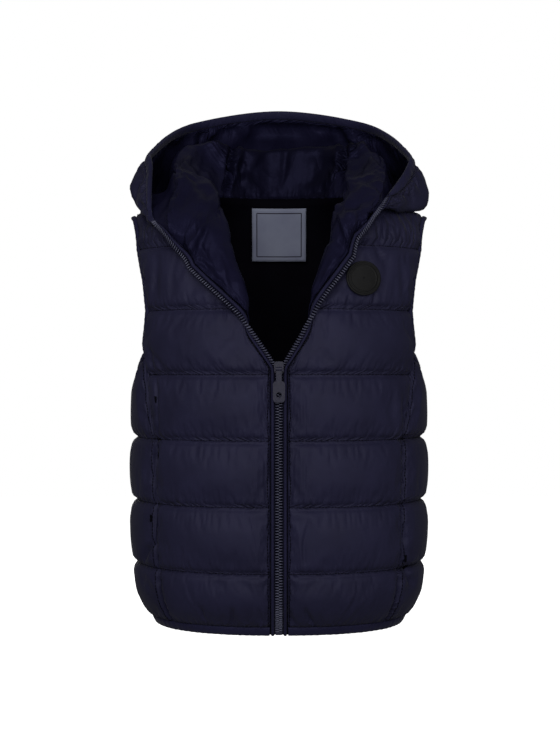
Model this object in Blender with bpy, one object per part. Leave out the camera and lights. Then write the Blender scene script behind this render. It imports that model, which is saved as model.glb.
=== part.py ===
"""A child's quilted gilet with a hood, in the hollow form that it has when it is worn.

Sizes are in millimetres. +X is the wearer's left, +Y the back and +Z up, and the origin lies between the
shoulders at the height of the shoulder tips. Each panel is a sheet, a grid of points on its lining side,
and gets its wall from the sheet's normals, with the quilting raised on the shell side.
"""

import bmesh
import bpy
import numpy as np
from mathutils import Vector

MM = 0.001


def table(names, *rows):
    """The columns of a short table, by name."""
    return dict(zip(names.split(), np.array(rows, float).T))


# Cloth and seams: a seam's gap, and how far each panel draws back, which is more where walls turn sharply
SEAM_GAP = 0.3
HALF_GAP = SEAM_GAP / 2
FRONT_INSET = 0.3
BACK_INSET = 0.36
HOOD_INSET = 1.1
SIDE_INSET = 0.55
SEAM_WALL = 3.0
PUFF = 5.5
TOP_PUFF = 2.5
FLAP_PUFF = 1.0
UNDER_FLAP = 5.5
PUFF_RISE = 18.0
SKIN = 0.8
BINDING = 4.5
BAND = 9.0
FACING_COLUMNS = 5

# Quilting: straight rings, counted up from the hem binding
HEM = -395.0
HEM_TOP = -386.0
QUILT_TOP = -30.5
QUILT_STEP = 61.0
QUILT_LINES = np.append(HEM_TOP, QUILT_TOP - QUILT_STEP * np.arange(5, -1, -1))
CHANNEL_ROWS = (0.0, 0.2, 0.5, 0.8)
TOP_ROWS = (0.2, 0.5, 0.8, 1.0)
FLOOR_LINE = 4  # the quilt line under the armholes

# Zip
SLIDER_HEIGHT = -147.0
TEETH = 3.2
TAPE_GAP = 1.1
EDGE_GAP = 2.2
TAPE_EDGE = 8.3
TAPE_WALL = (1.0, 2.0)
TEETH_WALL = (0.3, 2.8)
# From the panel's edge to the middle of the zip: the edge, the tape's two sides, and the teeth's two sides
TAPE_PLACES = np.array([0, EDGE_GAP, TAPE_EDGE - TEETH - TAPE_GAP, TAPE_EDGE - TEETH, TAPE_EDGE]) / TAPE_EDGE

# Body: the inside of each ring, a superellipse whose front and back halves differ
SQUARENESS = 2.3
GIRTH = table(
    "height half_width front_depth back_depth",
    (-395, 119, 76, 74),
    (-386, 123.5, 80, 78),
    (-368, 132, 90, 88),
    (-335.5, 137.5, 96, 94),
    (-274.5, 139, 96, 93),
    (-213.5, 139, 95, 90),
    (-152.5, 137, 92, 86),
    (-91.5, 137, 86, 83),
    (-30.5, 140, 72, 80),
)
# The front's outer edge, in degrees from the front: the side seam, then the armhole
FRONT_EDGE = table(
    "height degrees",
    (-395, 50), (-213.5, 53), (-122, 67.5), (-103.7, 64.5), (-91.5, 63), (-61, 66), (-30.5, 73),
)
BACK_EDGE = table(
    "height degrees",
    (-395, 97), (-152.5, 97), (-140.3, 103), (-122, 111.5),
    (-103.7, 115.5), (-91.5, 117), (-61, 115), (-30.5, 108),
)
ARMHOLE_FLOOR = table(
    "degrees height",
    (50, -135), (66.7, -135), (75, -144), (82, -148.5), (90, -150), (97, -149), (110, -152.5), (180, -152.5),
)
SHOULDER_TIP = np.array([141.0, -2, -1.5])
NECK_POINT = np.array([70.0, 4, 26])
NECK_SIDE = np.array([70.0, -17, 20])
BACK_NECK = np.array([0.0, 72, 34])
# How round the cloth runs over the shoulder: at its tip, at the neck point, and at the roll or centre back
FRONT_ROUNDING = (1, 0.8, 0.3)
BACK_ROUNDING = (1, 0.8, 0.2)

# Lapels: where each row of the open front rolls, and where its zip edge comes to lie
LAPEL_RIGHT = table(
    "height roll_x zip_x zip_z lift turn",
    (-147, 25, 0.15, -147, 0, 0),
    (-125, 31, 15, -125, 3, 60),
    (-100, 33, 30.7, -105, 9, 130),
    (-75, 37, 48.5, -88, 14, 170),
    (-50, 46, 66.5, -71, 15, 180),
    (-30.5, 52, 80, -57, 15, 180),
)
LAPEL_LEFT = table(
    "height roll_x zip_x zip_z lift turn",
    (-147, 25, 0.15, -147, 0, 0),
    (-125, 31, 14, -125, 3, 60),
    (-100, 33, 27, -103, 9, 130),
    (-75, 38, 41.4, -83, 14, 170),
    (-50, 47, 56.4, -63, 15, 180),
    (-30.5, 55, 67.5, -46.8, 15, 180),
)
ROLL_TOP = np.array([60.0, -38, 9])
ROLL_REACH = 22 * np.array([-0.7, -0.65, -0.3])
FLAP_HANDLE = {-1: np.array([70.0, -78, -10]), 1: np.array([62.0, -80, -8])}
ZIP_AT_NECK = {-1: np.array([90.5, -78, -43.5]), 1: np.array([74.4, -80, -27.3])}
ZIP_TOP = {-1: np.array([122.7, -52, -1.5]), 1: np.array([104.8, -44, 21])}
ZIP_BOW = 8.0

# Hood, lying back: at each share of the way from the zip to the centre back, the points that its cloth passes
HOOD_SHARES = (0.2, 0.46, 0.75, 1.0)
HOOD = {
    "stand": ((69, -40, 28), (75, 5, 44), (60, 58, 62), (0, 75, 64)),
    "crest": ((92, -36, 32), (95, 5, 54), (82, 57, 90), (0, 80, 90)),
    "fold": ((100, -34, 30), (103, 7, 52), (92, 69, 86), (0, 94, 86)),
    "pouch": ((108, -28, 22), (114, 9, 26), (98, 90, -6), (0, 112, -25)),
    "bulge": ((135, -18, 14), (138, 8, 30), (110, 112, 38), (0, 148, 40)),
    "rim": ((124, -20, 50), (126, 12, 74), (88, 92, 119), (0, 116, 137)),
}
ZIP_SHARES = (0.12, 0.25, 0.45, 0.6, 0.8, 1.0)
HOOD_CELLS = (2, 2, 2, 3, 3, 3)
HOOD_PUFF = 3.0
HOOD_FILL = table(
    "share puff",
    (0, 0), (0.08, 0.1), (0.16, 0.6), (0.25, 0.5), (0.4, 0.5), (0.6, 0.7), (0.8, 1.3), (0.95, 0.8), (1, 0.2),
)
CENTRE_CELLS = 3
FACED_KNOTS = 3

# Small pieces
LABEL = {"width": 57.0, "height": 55.0, "z": -5.0, "thick": 0.8, "seat": 0.7}
BADGE = {"x": 79.0, "z": -62.5, "radius": 16.5, "thick": 2.0, "rim": 2.4, "rim_rise": 0.7, "seat": 1.6}
ZIP_BOX = {"half": 3.1, "front": 4.0, "back": 0.5, "bevel": 0.8}
SLIDER = {
    "half": 4.3, "low": -151.5, "high": -140.5, "bevel": 2.0, "face": (3.9, 5.6), "back": (-2.2, -0.9),
    "post": 0.9, "post_low": -144.5, "post_high": -142.5, "lug_x": 3.6, "lug_half": 0.6, "lug_front": 8.9,
    "lug_low": -149.5, "lug_high": -145.5, "overlap": 0.6,
    "pin_z": -147.5, "pin_front": 7.7, "pin_radius": 0.8,
}
PULL = {
    "eye_radius": 1.8, "eye_width": 5.4, "bore_radius": 1.1, "half_thick": 0.9,
    "neck_half": 2.5, "neck_top": -1.0, "neck_low": -13.0,
    "half": 5.5, "top": -11.0, "low": -30.5, "bevel": 3.0, "hole_radius": 2.5, "hole_z": -23.6,
}

# How finely the sheets are divided

BODY_COLUMNS = 9
HOOK_COLUMNS = 6
SIDE_CELLS = 4
SHOULDER_CELLS = 4
NECK_CELLS = 12
HOOK_END = BODY_COLUMNS + HOOK_COLUMNS
TAPE_COLUMNS = 4
TURNED = [0, 3, 2, 1]
# The neck seam is thin where the lapel turns over, in these columns of the front
TURNING = slice(BODY_COLUMNS - 1, BODY_COLUMNS + 5)
TURNED_WALL = 1.5

FINISHES = {
    "navy shell": ((0.0144, 0.0137, 0.0284), 0.45),
    "navy binding": ((0.0159, 0.0159, 0.0331), 0.6),
    "black lining": ((0.0010, 0.0009, 0.0020), 0.6),
    "grey label": ((0.0480, 0.0529, 0.0704), 0.7),
    "black rubber": ((0.0110, 0.0110, 0.0116), 0.5),
    "navy tape": ((0.0110, 0.0110, 0.0200), 0.8),
    "navy plastic": ((0.0222, 0.0212, 0.0382), 0.4),
}


def unit(vector):
    return vector / np.maximum(np.linalg.norm(vector, axis=-1, keepdims=True), 1e-9)


def smooth(at, stations, values):
    """A cubic curve through the values at the stations, whose slopes come from their neighbours."""
    stations = np.asarray(stations, float)
    values = np.asarray(values, float)
    slopes = np.gradient(values, stations, axis=0)
    at = np.clip(np.asarray(at, float), stations[0], stations[-1])
    i = np.clip(np.searchsorted(stations, at, side="right") - 1, 0, len(stations) - 2)
    step = stations[i + 1] - stations[i]
    t = (at - stations[i]) / step
    if values.ndim > 1:
        step, t = step[..., None], t[..., None]
    rise = t * t * (3 - 2 * t)
    lean = t * (1 - t) ** 2 * slopes[i] + t * t * (t - 1) * slopes[i + 1]
    return (1 - rise) * values[i] + rise * values[i + 1] + step * lean


def lengths(path):
    """The distance along a path of points up to each of them."""
    return np.append(0, np.cumsum(np.linalg.norm(np.diff(path, axis=0), axis=1)))


def spaced(path, at):
    """Points of a path at the given distances along it."""
    along = lengths(path)
    return np.stack([np.interp(at, along, axis) for axis in path.T], -1)


def body(height, degrees):
    """The inside of the body at a height and an angle from the front centre, towards +X."""
    height, degrees = np.broadcast_arrays(np.asarray(height, float), np.asarray(degrees, float))
    half, front, back = (
        smooth(height, GIRTH["height"], GIRTH[name]) for name in ("half_width", "front_depth", "back_depth")
    )
    side, ahead = np.sin(np.radians(degrees)), np.cos(np.radians(degrees))
    x = half * np.sign(side) * np.abs(side) ** (2 / SQUARENESS)
    y = -np.where(ahead > 0, front, back) * np.sign(ahead) * np.abs(ahead) ** (2 / SQUARENESS)
    return np.stack([x, y, height], -1)


def outward(height, degrees):
    """The direction out of the body at a height and an angle."""
    step = 0.5
    around = body(height, degrees + step) - body(height, degrees - step)
    up = body(height + step, degrees) - body(height - step, degrees)
    return unit(np.cross(around, up))


def degrees_at(height, x):
    """The angle on the front at which the body has this X."""
    half = smooth(height, GIRTH["height"], GIRTH["half_width"])
    return np.degrees(np.arcsin((x / half) ** (SQUARENESS / 2)))


def crown(height):
    """0 on a quilt line and 1 midway between two."""
    i = np.clip(np.searchsorted(QUILT_LINES, height, side="right") - 1, 0, len(QUILT_LINES) - 2)
    share = (height - QUILT_LINES[i]) / (QUILT_LINES[i + 1] - QUILT_LINES[i])
    return np.sqrt(np.clip(1 - (2 * share - 1) ** 2, 0, 1))


def top_crowns():
    """The padding of the rows over the shoulder, which is thin under the hood."""
    return TOP_PUFF * crown(QUILT_LINES[-2] + np.array(TOP_ROWS) * QUILT_STEP)


def edge_rise(distance):
    """0 on a sewn edge, rising round to 1 where the padding is full."""
    return np.sqrt(1 - (1 - np.clip(distance / PUFF_RISE, 0, 1)) ** 2)


def bezier(a, b, c, d):
    t = np.linspace(0, 1, 60)[:, None]
    return (1 - t) ** 3 * a + 3 * (1 - t) ** 2 * t * b + 3 * (1 - t) * t * t * c + t**3 * d


def channel_heights():
    """Rows from the hem binding up to the top quilt line."""
    steps = np.diff(QUILT_LINES)
    rows = [low + share * step for low, step in zip(QUILT_LINES, steps) for share in CHANNEL_ROWS]
    return np.append(rows, QUILT_LINES[-1])


def front_row(path, hook):
    """A row's points: body columns to the roll, hook columns to the tape, then the tape and the teeth."""
    roll = lengths(path)[-1]
    whole = np.concatenate([path, hook[1:]])
    end = lengths(whole)[-1]
    at = np.concatenate([
        np.linspace(0, roll, BODY_COLUMNS + 1),
        np.linspace(roll, end - TAPE_EDGE, HOOK_COLUMNS + 1)[1:],
    ])
    row = spaced(whole, at)
    return np.concatenate([row, row[-1] + TAPE_PLACES[1:, None] * (whole[-1] - row[-1])])


def front_path(height, lapel):
    """The body part of a row, and its hook: flat below the slider, rolled outward above it."""
    start = np.interp(height, FRONT_EDGE["height"], FRONT_EDGE["degrees"])
    place = {name: smooth(height, lapel["height"], lapel[name]) for name in lapel}
    roll = degrees_at(height, place["roll_x"])
    path = body(height, np.linspace(start, roll, 60))
    if height <= SLIDER_HEIGHT:
        return path, body(height, np.linspace(roll, degrees_at(height, HALF_GAP), 60))
    ahead, out = unit(path[-1] - path[-2]), outward(height, roll)
    zip_degrees = degrees_at(place["zip_z"], place["zip_x"])
    end = body(place["zip_z"], zip_degrees) + place["lift"] * outward(place["zip_z"], zip_degrees)
    turn = np.radians(place["turn"])
    reach = 2 / 3 * max(place["lift"], np.linalg.norm(end - path[-1]) / 2 * (1 + np.cos(turn)) / 2)
    back = (path[-1] + place["lift"] * out - end) * (1 - np.cos(turn)) / 2
    handle = end + back - reach * (np.cos(turn) * ahead + np.sin(turn) * out)
    return path, bezier(path[-1], path[-1] + reach * ahead, handle, end)


def front_top(side):
    """The front's top row: shoulder seam, neckline, and the lapel's top as it flares out."""
    shoulder = np.linspace(SHOULDER_TIP, NECK_POINT, SHOULDER_CELLS + 1)
    neckline = smooth(np.linspace(0, 2, 21), (0, 1, 2), (NECK_POINT, NECK_SIDE, ROLL_TOP))
    hook = bezier(ROLL_TOP, ROLL_TOP + ROLL_REACH, FLAP_HANDLE[side], ZIP_AT_NECK[side])
    row = front_row(neckline, hook)
    neckline = spaced(neckline, np.linspace(0, lengths(neckline)[-1], BODY_COLUMNS - SHOULDER_CELLS + 1))
    return np.concatenate([shoulder, neckline[1:], row[BODY_COLUMNS + 1 :]])


def over_shoulder(low, top, shares, round_share):
    """Rows above the top quilt line: a quarter ellipse over the shoulder, straighter at the neck."""
    turn = np.asarray(shares)[:, None, None] * np.pi / 2
    shares = np.asarray(shares)[:, None, None]
    flat, rise = 1 - np.cos(turn), np.sin(turn)
    share = np.concatenate([np.repeat(flat, 2, -1), rise], -1)
    share = shares + (share - shares) * np.asarray(round_share)[None, :, None]
    return low + share * (top - low)


def front_sheet(side):
    """Points of a front on the X > 0 side, row by row, with the height and the crown of each row."""
    lapel = LAPEL_LEFT if side > 0 else LAPEL_RIGHT
    heights = np.sort(np.concatenate([[HEM], channel_heights(), [SLIDER_HEIGHT]]))
    rows = np.array([front_row(*front_path(height, lapel)) for height in heights])
    columns = rows.shape[1]
    rounded = np.interp(np.arange(columns), (0, SHOULDER_CELLS, BODY_COLUMNS), FRONT_ROUNDING)
    top = over_shoulder(rows[-1], front_top(side), TOP_ROWS, rounded)
    crowns = np.append(crown(heights) * PUFF, top_crowns())
    heights = np.append(heights, QUILT_TOP + np.array(TOP_ROWS))
    return np.concatenate([rows, top]), heights, crowns


def front_thickness(sheet, heights, crowns, lapel):
    """The wall: thin on its edges and quilt lines, full between, and thin in the lapel and under it."""
    along = np.array([lengths(row[: HOOK_END + 1]) for row in sheet])
    puff = crowns[:, None] * edge_rise(along) * edge_rise(along[:, -1:] - along)
    is_open = (heights > SLIDER_HEIGHT)[:, None]
    hook = np.arange(HOOK_END + 1) > BODY_COLUMNS - 1
    puff = np.where(is_open & hook, np.minimum(puff, FLAP_PUFF), puff)
    reach = smooth(heights, lapel["height"], lapel["zip_x"])[:, None] + PUFF_RISE
    under = is_open & (np.abs(sheet[:, : HOOK_END + 1, 0]) < reach)
    wall_at = SEAM_WALL + np.where(under, np.minimum(puff, UNDER_FLAP - SEAM_WALL), puff)
    wall_at[-1, TURNING] = TURNED_WALL
    return wall_at


def front(side):
    """A front's sheet and normals, with its thickness and the heights of its rows."""
    lapel = LAPEL_LEFT if side > 0 else LAPEL_RIGHT
    sheet, heights, crowns = front_sheet(side)
    thickness = front_thickness(sheet, heights, crowns, lapel)
    normals = sheet_normals(sheet, -1)
    on_body = heights <= QUILT_TOP
    edge = np.interp(heights[on_body], FRONT_EDGE["height"], FRONT_EDGE["degrees"])
    normals[on_body, 0] = outward(heights[on_body], edge)
    return sheet * (side, 1, 1), normals * (side, 1, 1), thickness, heights


def back_sheet():
    """Points of the back from the X < 0 side seam round to the other, their normals, and each row's crown."""
    rows, normals, crowns = [], [], []
    floor_low, floor_line = QUILT_LINES[FLOOR_LINE - 1], QUILT_LINES[FLOOR_LINE]
    for height in channel_heights():
        share = np.clip((height - floor_low) / (floor_line - floor_low), 0, 1)
        seam_height = height
        if floor_low < height <= floor_line:
            seam_height = floor_low + share * (ARMHOLE_FLOOR["height"][0] - floor_low)
        seam = np.interp(seam_height, FRONT_EDGE["height"], FRONT_EDGE["degrees"])
        edge = smooth(height, BACK_EDGE["height"], BACK_EDGE["degrees"])
        turns = np.linspace(edge, 360 - edge, 160)
        main = body(height, turns)
        even = np.linspace(0, lengths(main)[-1], 2 * SHOULDER_CELLS + NECK_CELLS + 1)
        main_degrees = np.interp(even, lengths(main), turns)
        side_degrees = np.linspace(seam, edge, SIDE_CELLS + 1)[:-1]
        around = np.concatenate([side_degrees, main_degrees, 360 - side_degrees[::-1]])
        level = np.full(len(around), height)
        if floor_low < height <= floor_line:
            floor = smooth(180 - np.abs(around - 180), ARMHOLE_FLOOR["degrees"], ARMHOLE_FLOOR["height"])
            level = floor_low + share * (floor - floor_low)
        rows.append(body(level, around)[::-1])
        normals.append(outward(level, around)[::-1])
        crowns.append(crown(height) * PUFF)
    shoulder = np.linspace(SHOULDER_TIP, NECK_POINT, SHOULDER_CELLS + 1)
    other = shoulder * (-1, 1, 1)
    top = np.concatenate([other, back_neckline()[1:-1], shoulder[::-1]])
    main = rows[-1][SIDE_CELLS:-SIDE_CELLS]
    from_tip = np.minimum(np.arange(len(top)), np.arange(len(top))[::-1])
    rounded = np.interp(from_tip, (0, SHOULDER_CELLS, SHOULDER_CELLS + NECK_CELLS / 2), BACK_ROUNDING)
    above = over_shoulder(main, top, TOP_ROWS, rounded)
    above_normals = sheet_normals(np.concatenate([main[None], above]), -1)[1:]
    margin = ((0, 0), (SIDE_CELLS, SIDE_CELLS), (0, 0))
    sheet = np.concatenate([rows, np.pad(above, margin, mode="edge")])
    normals = np.concatenate([normals, np.pad(above_normals, margin, mode="edge")])
    return sheet, normals, np.append(crowns, top_crowns())


def back_neckline():
    """The back neckline: half an ellipse in plan, from one neck point round the back neck to the other."""
    turns = np.linspace(0, np.pi, 161)
    x = -NECK_POINT[0] * np.cos(turns)
    rise = np.sin(turns)
    y = NECK_POINT[1] + (BACK_NECK[1] - NECK_POINT[1]) * rise
    z = NECK_POINT[2] + (BACK_NECK[2] - NECK_POINT[2]) * rise
    curve = np.stack([x, y, z], -1)
    return spaced(curve, np.linspace(0, lengths(curve)[-1], NECK_CELLS + 1))


def zip_over_hood(side, share):
    """A point of the zip between the neck seam and its top, bowed forward over the chest."""
    low, high = ZIP_AT_NECK[side], ZIP_TOP[side]
    return low + share * (high - low) - np.array([0, 4 * ZIP_BOW * share * (1 - share), 0])


def hood_sheet(neck):
    """Points of the hood: its columns start on the neckline, and its rows run round from zip to zip."""
    along = lengths(neck)
    half = along[-1] / 2
    shares = np.concatenate([[0], HOOD_SHARES, 2 - np.array(HOOD_SHARES[-2::-1]), [2]])
    dense = np.linspace(0, 2, 241)
    knots = [spaced(neck, dense * half)]
    for zip_share, name in zip(ZIP_SHARES, HOOD):
        points = np.array(HOOD[name], float)
        right, left = (zip_over_hood(side, zip_share) for side in (-1, 1))
        mirrored = points * (-1, 1, 1)
        knots.append(smooth(dense, shares, np.concatenate([
            [right * (-1, 1, 1)], mirrored, points[-2::-1], [left],
        ])))
    knots = np.array(knots)
    columns = []
    for column in np.moveaxis(knots, 1, 0):
        run = lengths(column)
        stops = np.append(run[:-1], run[-1] - BAND - 2 * SEAM_GAP)
        at = [np.linspace(a, b, cells, endpoint=False) for a, b, cells in zip(stops, stops[1:], HOOD_CELLS)]
        at = np.concatenate([*at, [stops[-1], run[-1] - BAND, run[-1]]])
        columns.append(smooth(at, run, column))
    rows = np.moveaxis(np.array(columns), 1, 0)
    zips = len(TAPE_PLACES)
    sheet = []
    for row in rows:
        run = lengths(row)
        line = spaced(row, np.interp(along / half, dense, run))
        first, last = spaced(row, (TAPE_EDGE, run[-1] - TAPE_EDGE))
        line[:zips] = first + TAPE_PLACES[::-1, None] * (row[0] - first)
        line[-zips:] = last + TAPE_PLACES[:, None] * (row[-1] - last)
        sheet.append(line)
    sheet[0] = neck
    return np.array(sheet)


def sheet_normals(sheet, sign):
    across, up = np.gradient(sheet, axis=1), np.gradient(sheet, axis=0)
    return unit(sign * np.cross(across, up))


def share_normals(sheets, normals):
    """Sheets that meet at a point get one normal there, so that their walls meet along one face."""
    total = {}
    keys = {name: np.round(sheet, 2) + 0.0 for name, sheet in sheets.items()}
    for name, sheet in keys.items():
        for key, normal in zip(map(tuple, sheet.reshape(-1, 3)), normals[name].reshape(-1, 3)):
            total[key] = total.get(key, 0) + normal
    for name, sheet in keys.items():
        met = np.array([total[key] for key in map(tuple, sheet.reshape(-1, 3))])
        normals[name] = unit(met).reshape(sheet.shape)


def inset(sheet, edges, by=HALF_GAP):
    """A copy whose named edges draw back."""
    moved = sheet.copy()
    if "left" in edges:
        moved[:, 0] += by * unit(sheet[:, 1] - sheet[:, 0])
    if "right" in edges:
        moved[:, -1] += by * unit(sheet[:, -2] - sheet[:, -1])
    if "low" in edges:
        moved[0] += by * unit(sheet[1] - sheet[0])
    if "top" in edges:
        moved[-1] += by * unit(sheet[-2] - sheet[-1])
    return moved


def finish(name, finish_name):
    """One material for one object."""
    colour, roughness = FINISHES[finish_name]
    material = bpy.data.materials.new(f"{name} {finish_name}")
    material.use_nodes = True
    shader = material.node_tree.nodes["Principled BSDF"]
    shader.inputs["Base Color"].default_value = (*colour, 1)
    shader.inputs["Roughness"].default_value = roughness
    return material


def add(name, mesh, finish_name, place=(0, 0, 0)):
    """An object of the garment, at a place in millimetres."""
    piece = bpy.data.objects.new(name, mesh)
    piece.location = [MM * value for value in place]
    piece.parent = garment
    mesh.materials.append(finish(name, finish_name))
    mesh.shade_smooth()
    mesh.set_sharp_from_angle(angle=np.radians(50))
    bpy.context.scene.collection.objects.link(piece)
    return piece


def wall(name, inner, outer, finish_name, keep=None, ring=False):
    """A closed wall between two grids: keep says which cells exist, ring joins the columns' ends."""
    rows, columns = inner.shape[:2]
    index = np.arange(rows * columns).reshape(rows, columns)
    if ring:
        index = np.concatenate([index, index[:, :1]], 1)
    corners = np.stack([index[:-1, :-1], index[:-1, 1:], index[1:, 1:], index[1:, :-1]], -1)
    cells = corners.reshape(-1, 4) if keep is None else corners[keep]
    count = rows * columns
    edges = {(a, b) for cell in cells.tolist() for a, b in zip(cell, cell[1:] + cell[:1])}
    sides = [(b + count, a + count, a, b) for a, b in sorted(edges) if (b, a) not in edges]
    faces = np.concatenate([cells + count, cells[:, TURNED], np.array(sides)])
    points = np.concatenate([inner.reshape(-1, 3), outer.reshape(-1, 3)])
    used, faces = np.unique(faces, return_inverse=True)
    points, faces = points[used], faces.reshape(-1, 4)
    a, b, c, d = np.moveaxis(points[faces], 1, 0)
    volume = np.sum(np.cross(b - a, c - a) * a) + np.sum(np.cross(c - a, d - a) * a)
    if volume < 0:
        faces = faces[:, TURNED]
    mesh = bpy.data.meshes.new(name)
    mesh.from_pydata((points * MM).tolist(), [], faces.tolist())
    return add(name, mesh, finish_name)


def layer(name, sheet, normals, low, high, finish_name, **options):
    """A wall between two distances from a sheet, each a number or one for every point."""
    low, high = (np.asarray(value, float) for value in (low, high))
    low = low[..., None] if low.ndim else low
    high = high[..., None] if high.ndim else high
    return wall(name, sheet + low * normals, sheet + high * normals, finish_name, **options)


def fitted_patch(points, x, z):
    """Y at each (x, z) on the quadratic surface that best fits the points, and how far they stray from it."""
    def terms(x, z):
        return np.stack([np.ones_like(x), x, z, x * x, x * z, z * z], -1)
    factors = np.linalg.lstsq(terms(points[:, 0], points[:, 2]), points[:, 1], rcond=None)[0]
    stray = points[:, 1] - terms(points[:, 0], points[:, 2]) @ factors
    return terms(x, z) @ factors, stray


def block(name, low, high, place=(0, 0, 0), bevel=0.0):
    """A box between two corners, with rounded upright edges along Y."""
    mesh = bpy.data.meshes.new(name)
    shape = bmesh.new()
    low, high = (np.array(value, float) for value in (low, high))
    bmesh.ops.create_cube(shape, size=1)
    for vertex in shape.verts:
        vertex.co = (low + (high - low) * (np.array(vertex.co) + 0.5)) * MM
    if bevel:
        along_y = [edge for edge in shape.edges if abs((edge.verts[0].co - edge.verts[1].co).y) > 1e-6]
        bmesh.ops.bevel(shape, geom=along_y, offset=bevel * MM, segments=3, affect="EDGES", profile=0.5)
    shape.to_mesh(mesh)
    shape.free()
    return add(name, mesh, "navy plastic", place)


def rod(name, radius, length, centre, axis, place=(0, 0, 0), sides=16):
    """A round bar, its length along X or Y."""
    mesh = bpy.data.meshes.new(name)
    shape = bmesh.new()
    bmesh.ops.create_cone(
        shape, cap_ends=True, segments=sides, radius1=radius * MM, radius2=radius * MM, depth=length * MM
    )
    for vertex in shape.verts:
        x, y, z = vertex.co
        vertex.co = (z, x, y) if axis == "X" else (y, z, x)
        vertex.co += Vector([MM * value for value in centre])
    shape.to_mesh(mesh)
    shape.free()
    return add(name, mesh, "navy plastic", place)


def combine(piece, other, operation):
    """Joins another shape to a piece, or cuts it out, and keeps that shape as a guide."""
    other.hide_render = True
    other.display_type = "WIRE"
    change = piece.modifiers.new(other.name, "BOOLEAN")
    change.operation = operation
    change.object = other
    change.solver = "EXACT"


for old in list(bpy.data.objects):
    bpy.data.objects.remove(old)
garment = bpy.data.objects.new("gilet", None)
bpy.context.scene.collection.objects.link(garment)

sides = {"right": -1, "left": 1}
sheets, normals, thickness, heights = {}, {}, {}, {}
for hand, side in sides.items():
    sheets[hand], normals[hand], thickness[hand], heights[hand] = front(side)
sheets["back"], normals["back"], back_crowns = back_sheet()
neck_columns = slice(SIDE_CELLS + SHOULDER_CELLS + 1, SIDE_CELLS + SHOULDER_CELLS + NECK_CELLS)
neck = np.concatenate([
    sheets["right"][-1, : SHOULDER_CELLS - 1 : -1],
    sheets["back"][-1, neck_columns],
    sheets["left"][-1, SHOULDER_CELLS:],
])
sheets["hood"] = hood_sheet(neck)
normals["hood"] = sheet_normals(sheets["hood"], -1)
share_normals(sheets, normals)
normals["hood"][-2] = normals["hood"][-3]
# The zip is flat across its tapes
for hand in sides:
    normals[hand][:, HOOK_END:] = normals[hand][:, HOOK_END + 2, None]
normals["hood"][:, : TAPE_COLUMNS + 1] = normals["hood"][:, 2, None]
normals["hood"][:, -1 - TAPE_COLUMNS :] = normals["hood"][:, -3, None]

# Fronts
for hand in sides:
    panel = inset(sheets[hand][1:, : HOOK_END + 1], ("left", "right", "top"), FRONT_INSET)
    layer(f"front_{hand}", panel, normals[hand][1:, : HOOK_END + 1], 0, thickness[hand][1:], "navy shell")

# Back, whose side columns end under the armholes
floor_row = len(CHANNEL_ROWS) * FLOOR_LINE
back_rows, back_columns = sheets["back"].shape[:2]
row, column = np.mgrid[: back_rows - 1, : back_columns - 1]
back_cells = (row < floor_row) | ((column >= SIDE_CELLS) & (column < back_columns - 1 - SIDE_CELLS))
along = np.array([lengths(line) for line in sheets["back"]])
along[floor_row + 1 :] -= along[floor_row + 1 :, SIDE_CELLS, None]
ends = np.where(np.arange(back_rows) > floor_row, along[:, -1 - SIDE_CELLS], along[:, -1])[:, None]
back_wall = SEAM_WALL + back_crowns[:, None] * edge_rise(along) * edge_rise(ends - along)
panel = inset(sheets["back"], ("left", "right", "top"), BACK_INSET)
layer("back", panel, normals["back"], 0, back_wall, "navy shell", keep=back_cells)

# Back lining, on every quilt line, and the label that is sewn to it
lining_rows = np.r_[0 : back_rows - len(TOP_ROWS) : len(CHANNEL_ROWS), back_rows - len(TOP_ROWS) : back_rows]
lining = inset(sheets["back"], ("left", "right", "top"))[lining_rows]
lining_normals = normals["back"][lining_rows]
row, column = np.mgrid[: len(lining_rows) - 1, : back_columns - 1]
lining_cells = (row < FLOOR_LINE) | ((column >= SIDE_CELLS) & (column < back_columns - 1 - SIDE_CELLS))
layer("lining_back", lining, lining_normals, -3 * SKIN, -2 * SKIN, "black lining", keep=lining_cells)
behind = (lining - 3 * SKIN * lining_normals).reshape(-1, 3)
near_x = np.abs(behind[:, 0]) < LABEL["seat"] * LABEL["width"]
near_z = np.abs(behind[:, 2] - LABEL["z"]) < LABEL["seat"] * LABEL["height"]
behind = behind[near_x & near_z & (behind[:, 1] > 0)]
up, across = np.meshgrid(np.linspace(-0.5, 0.5, 5), np.linspace(-0.5, 0.5, 7), indexing="ij")
x, z = LABEL["width"] * across, LABEL["z"] + LABEL["height"] * up
y, stray = fitted_patch(behind, x, z)
label = np.stack([x, y + stray.min() - SEAM_GAP, z], -1)
wall("label", label, label - (0, LABEL["thick"], 0), "grey label")

# Hood: a centre piece between two side pieces, with their seams drawn in
hood, hood_normals = sheets["hood"][:-2], normals["hood"][:-2]
rows, columns = hood.shape[:2]
middle = columns // 2
splits = {
    "side_right": (TAPE_COLUMNS, middle - CENTRE_CELLS),
    "centre": (middle - CENTRE_CELLS, middle + CENTRE_CELLS),
    "side_left": (middle + CENTRE_CELLS, columns - 1 - TAPE_COLUMNS),
}
hood_along = np.array([lengths(line) for line in hood])
puff = HOOD_PUFF * np.interp(np.linspace(0, 1, rows), HOOD_FILL["share"], HOOD_FILL["puff"])
for name, (first, last) in splits.items():
    part = slice(first, last + 1)
    run = hood_along[:, part]
    from_edge = np.minimum(run - run[:, :1], run[:, -1:] - run)
    wall_at = SEAM_WALL + puff[:, None] * edge_rise(from_edge)
    if name != "centre":
        turning = slice(HOOK_END - TURNING.stop + 1, HOOK_END - TURNING.start + 1)
        wall_at[0, :: 1 if name == "side_right" else -1][turning] = TURNED_WALL
    panel = inset(inset(hood[:, part], ("left", "right"), SIDE_INSET), ("low",), HOOD_INSET)
    layer(f"hood_{name}", panel, hood_normals[:, part], 0, wall_at, "navy shell")
layer("hood_edge_band", sheets["hood"][-2:], normals["hood"][-2:], -SKIN, SEAM_WALL + SKIN, "navy binding")

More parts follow.
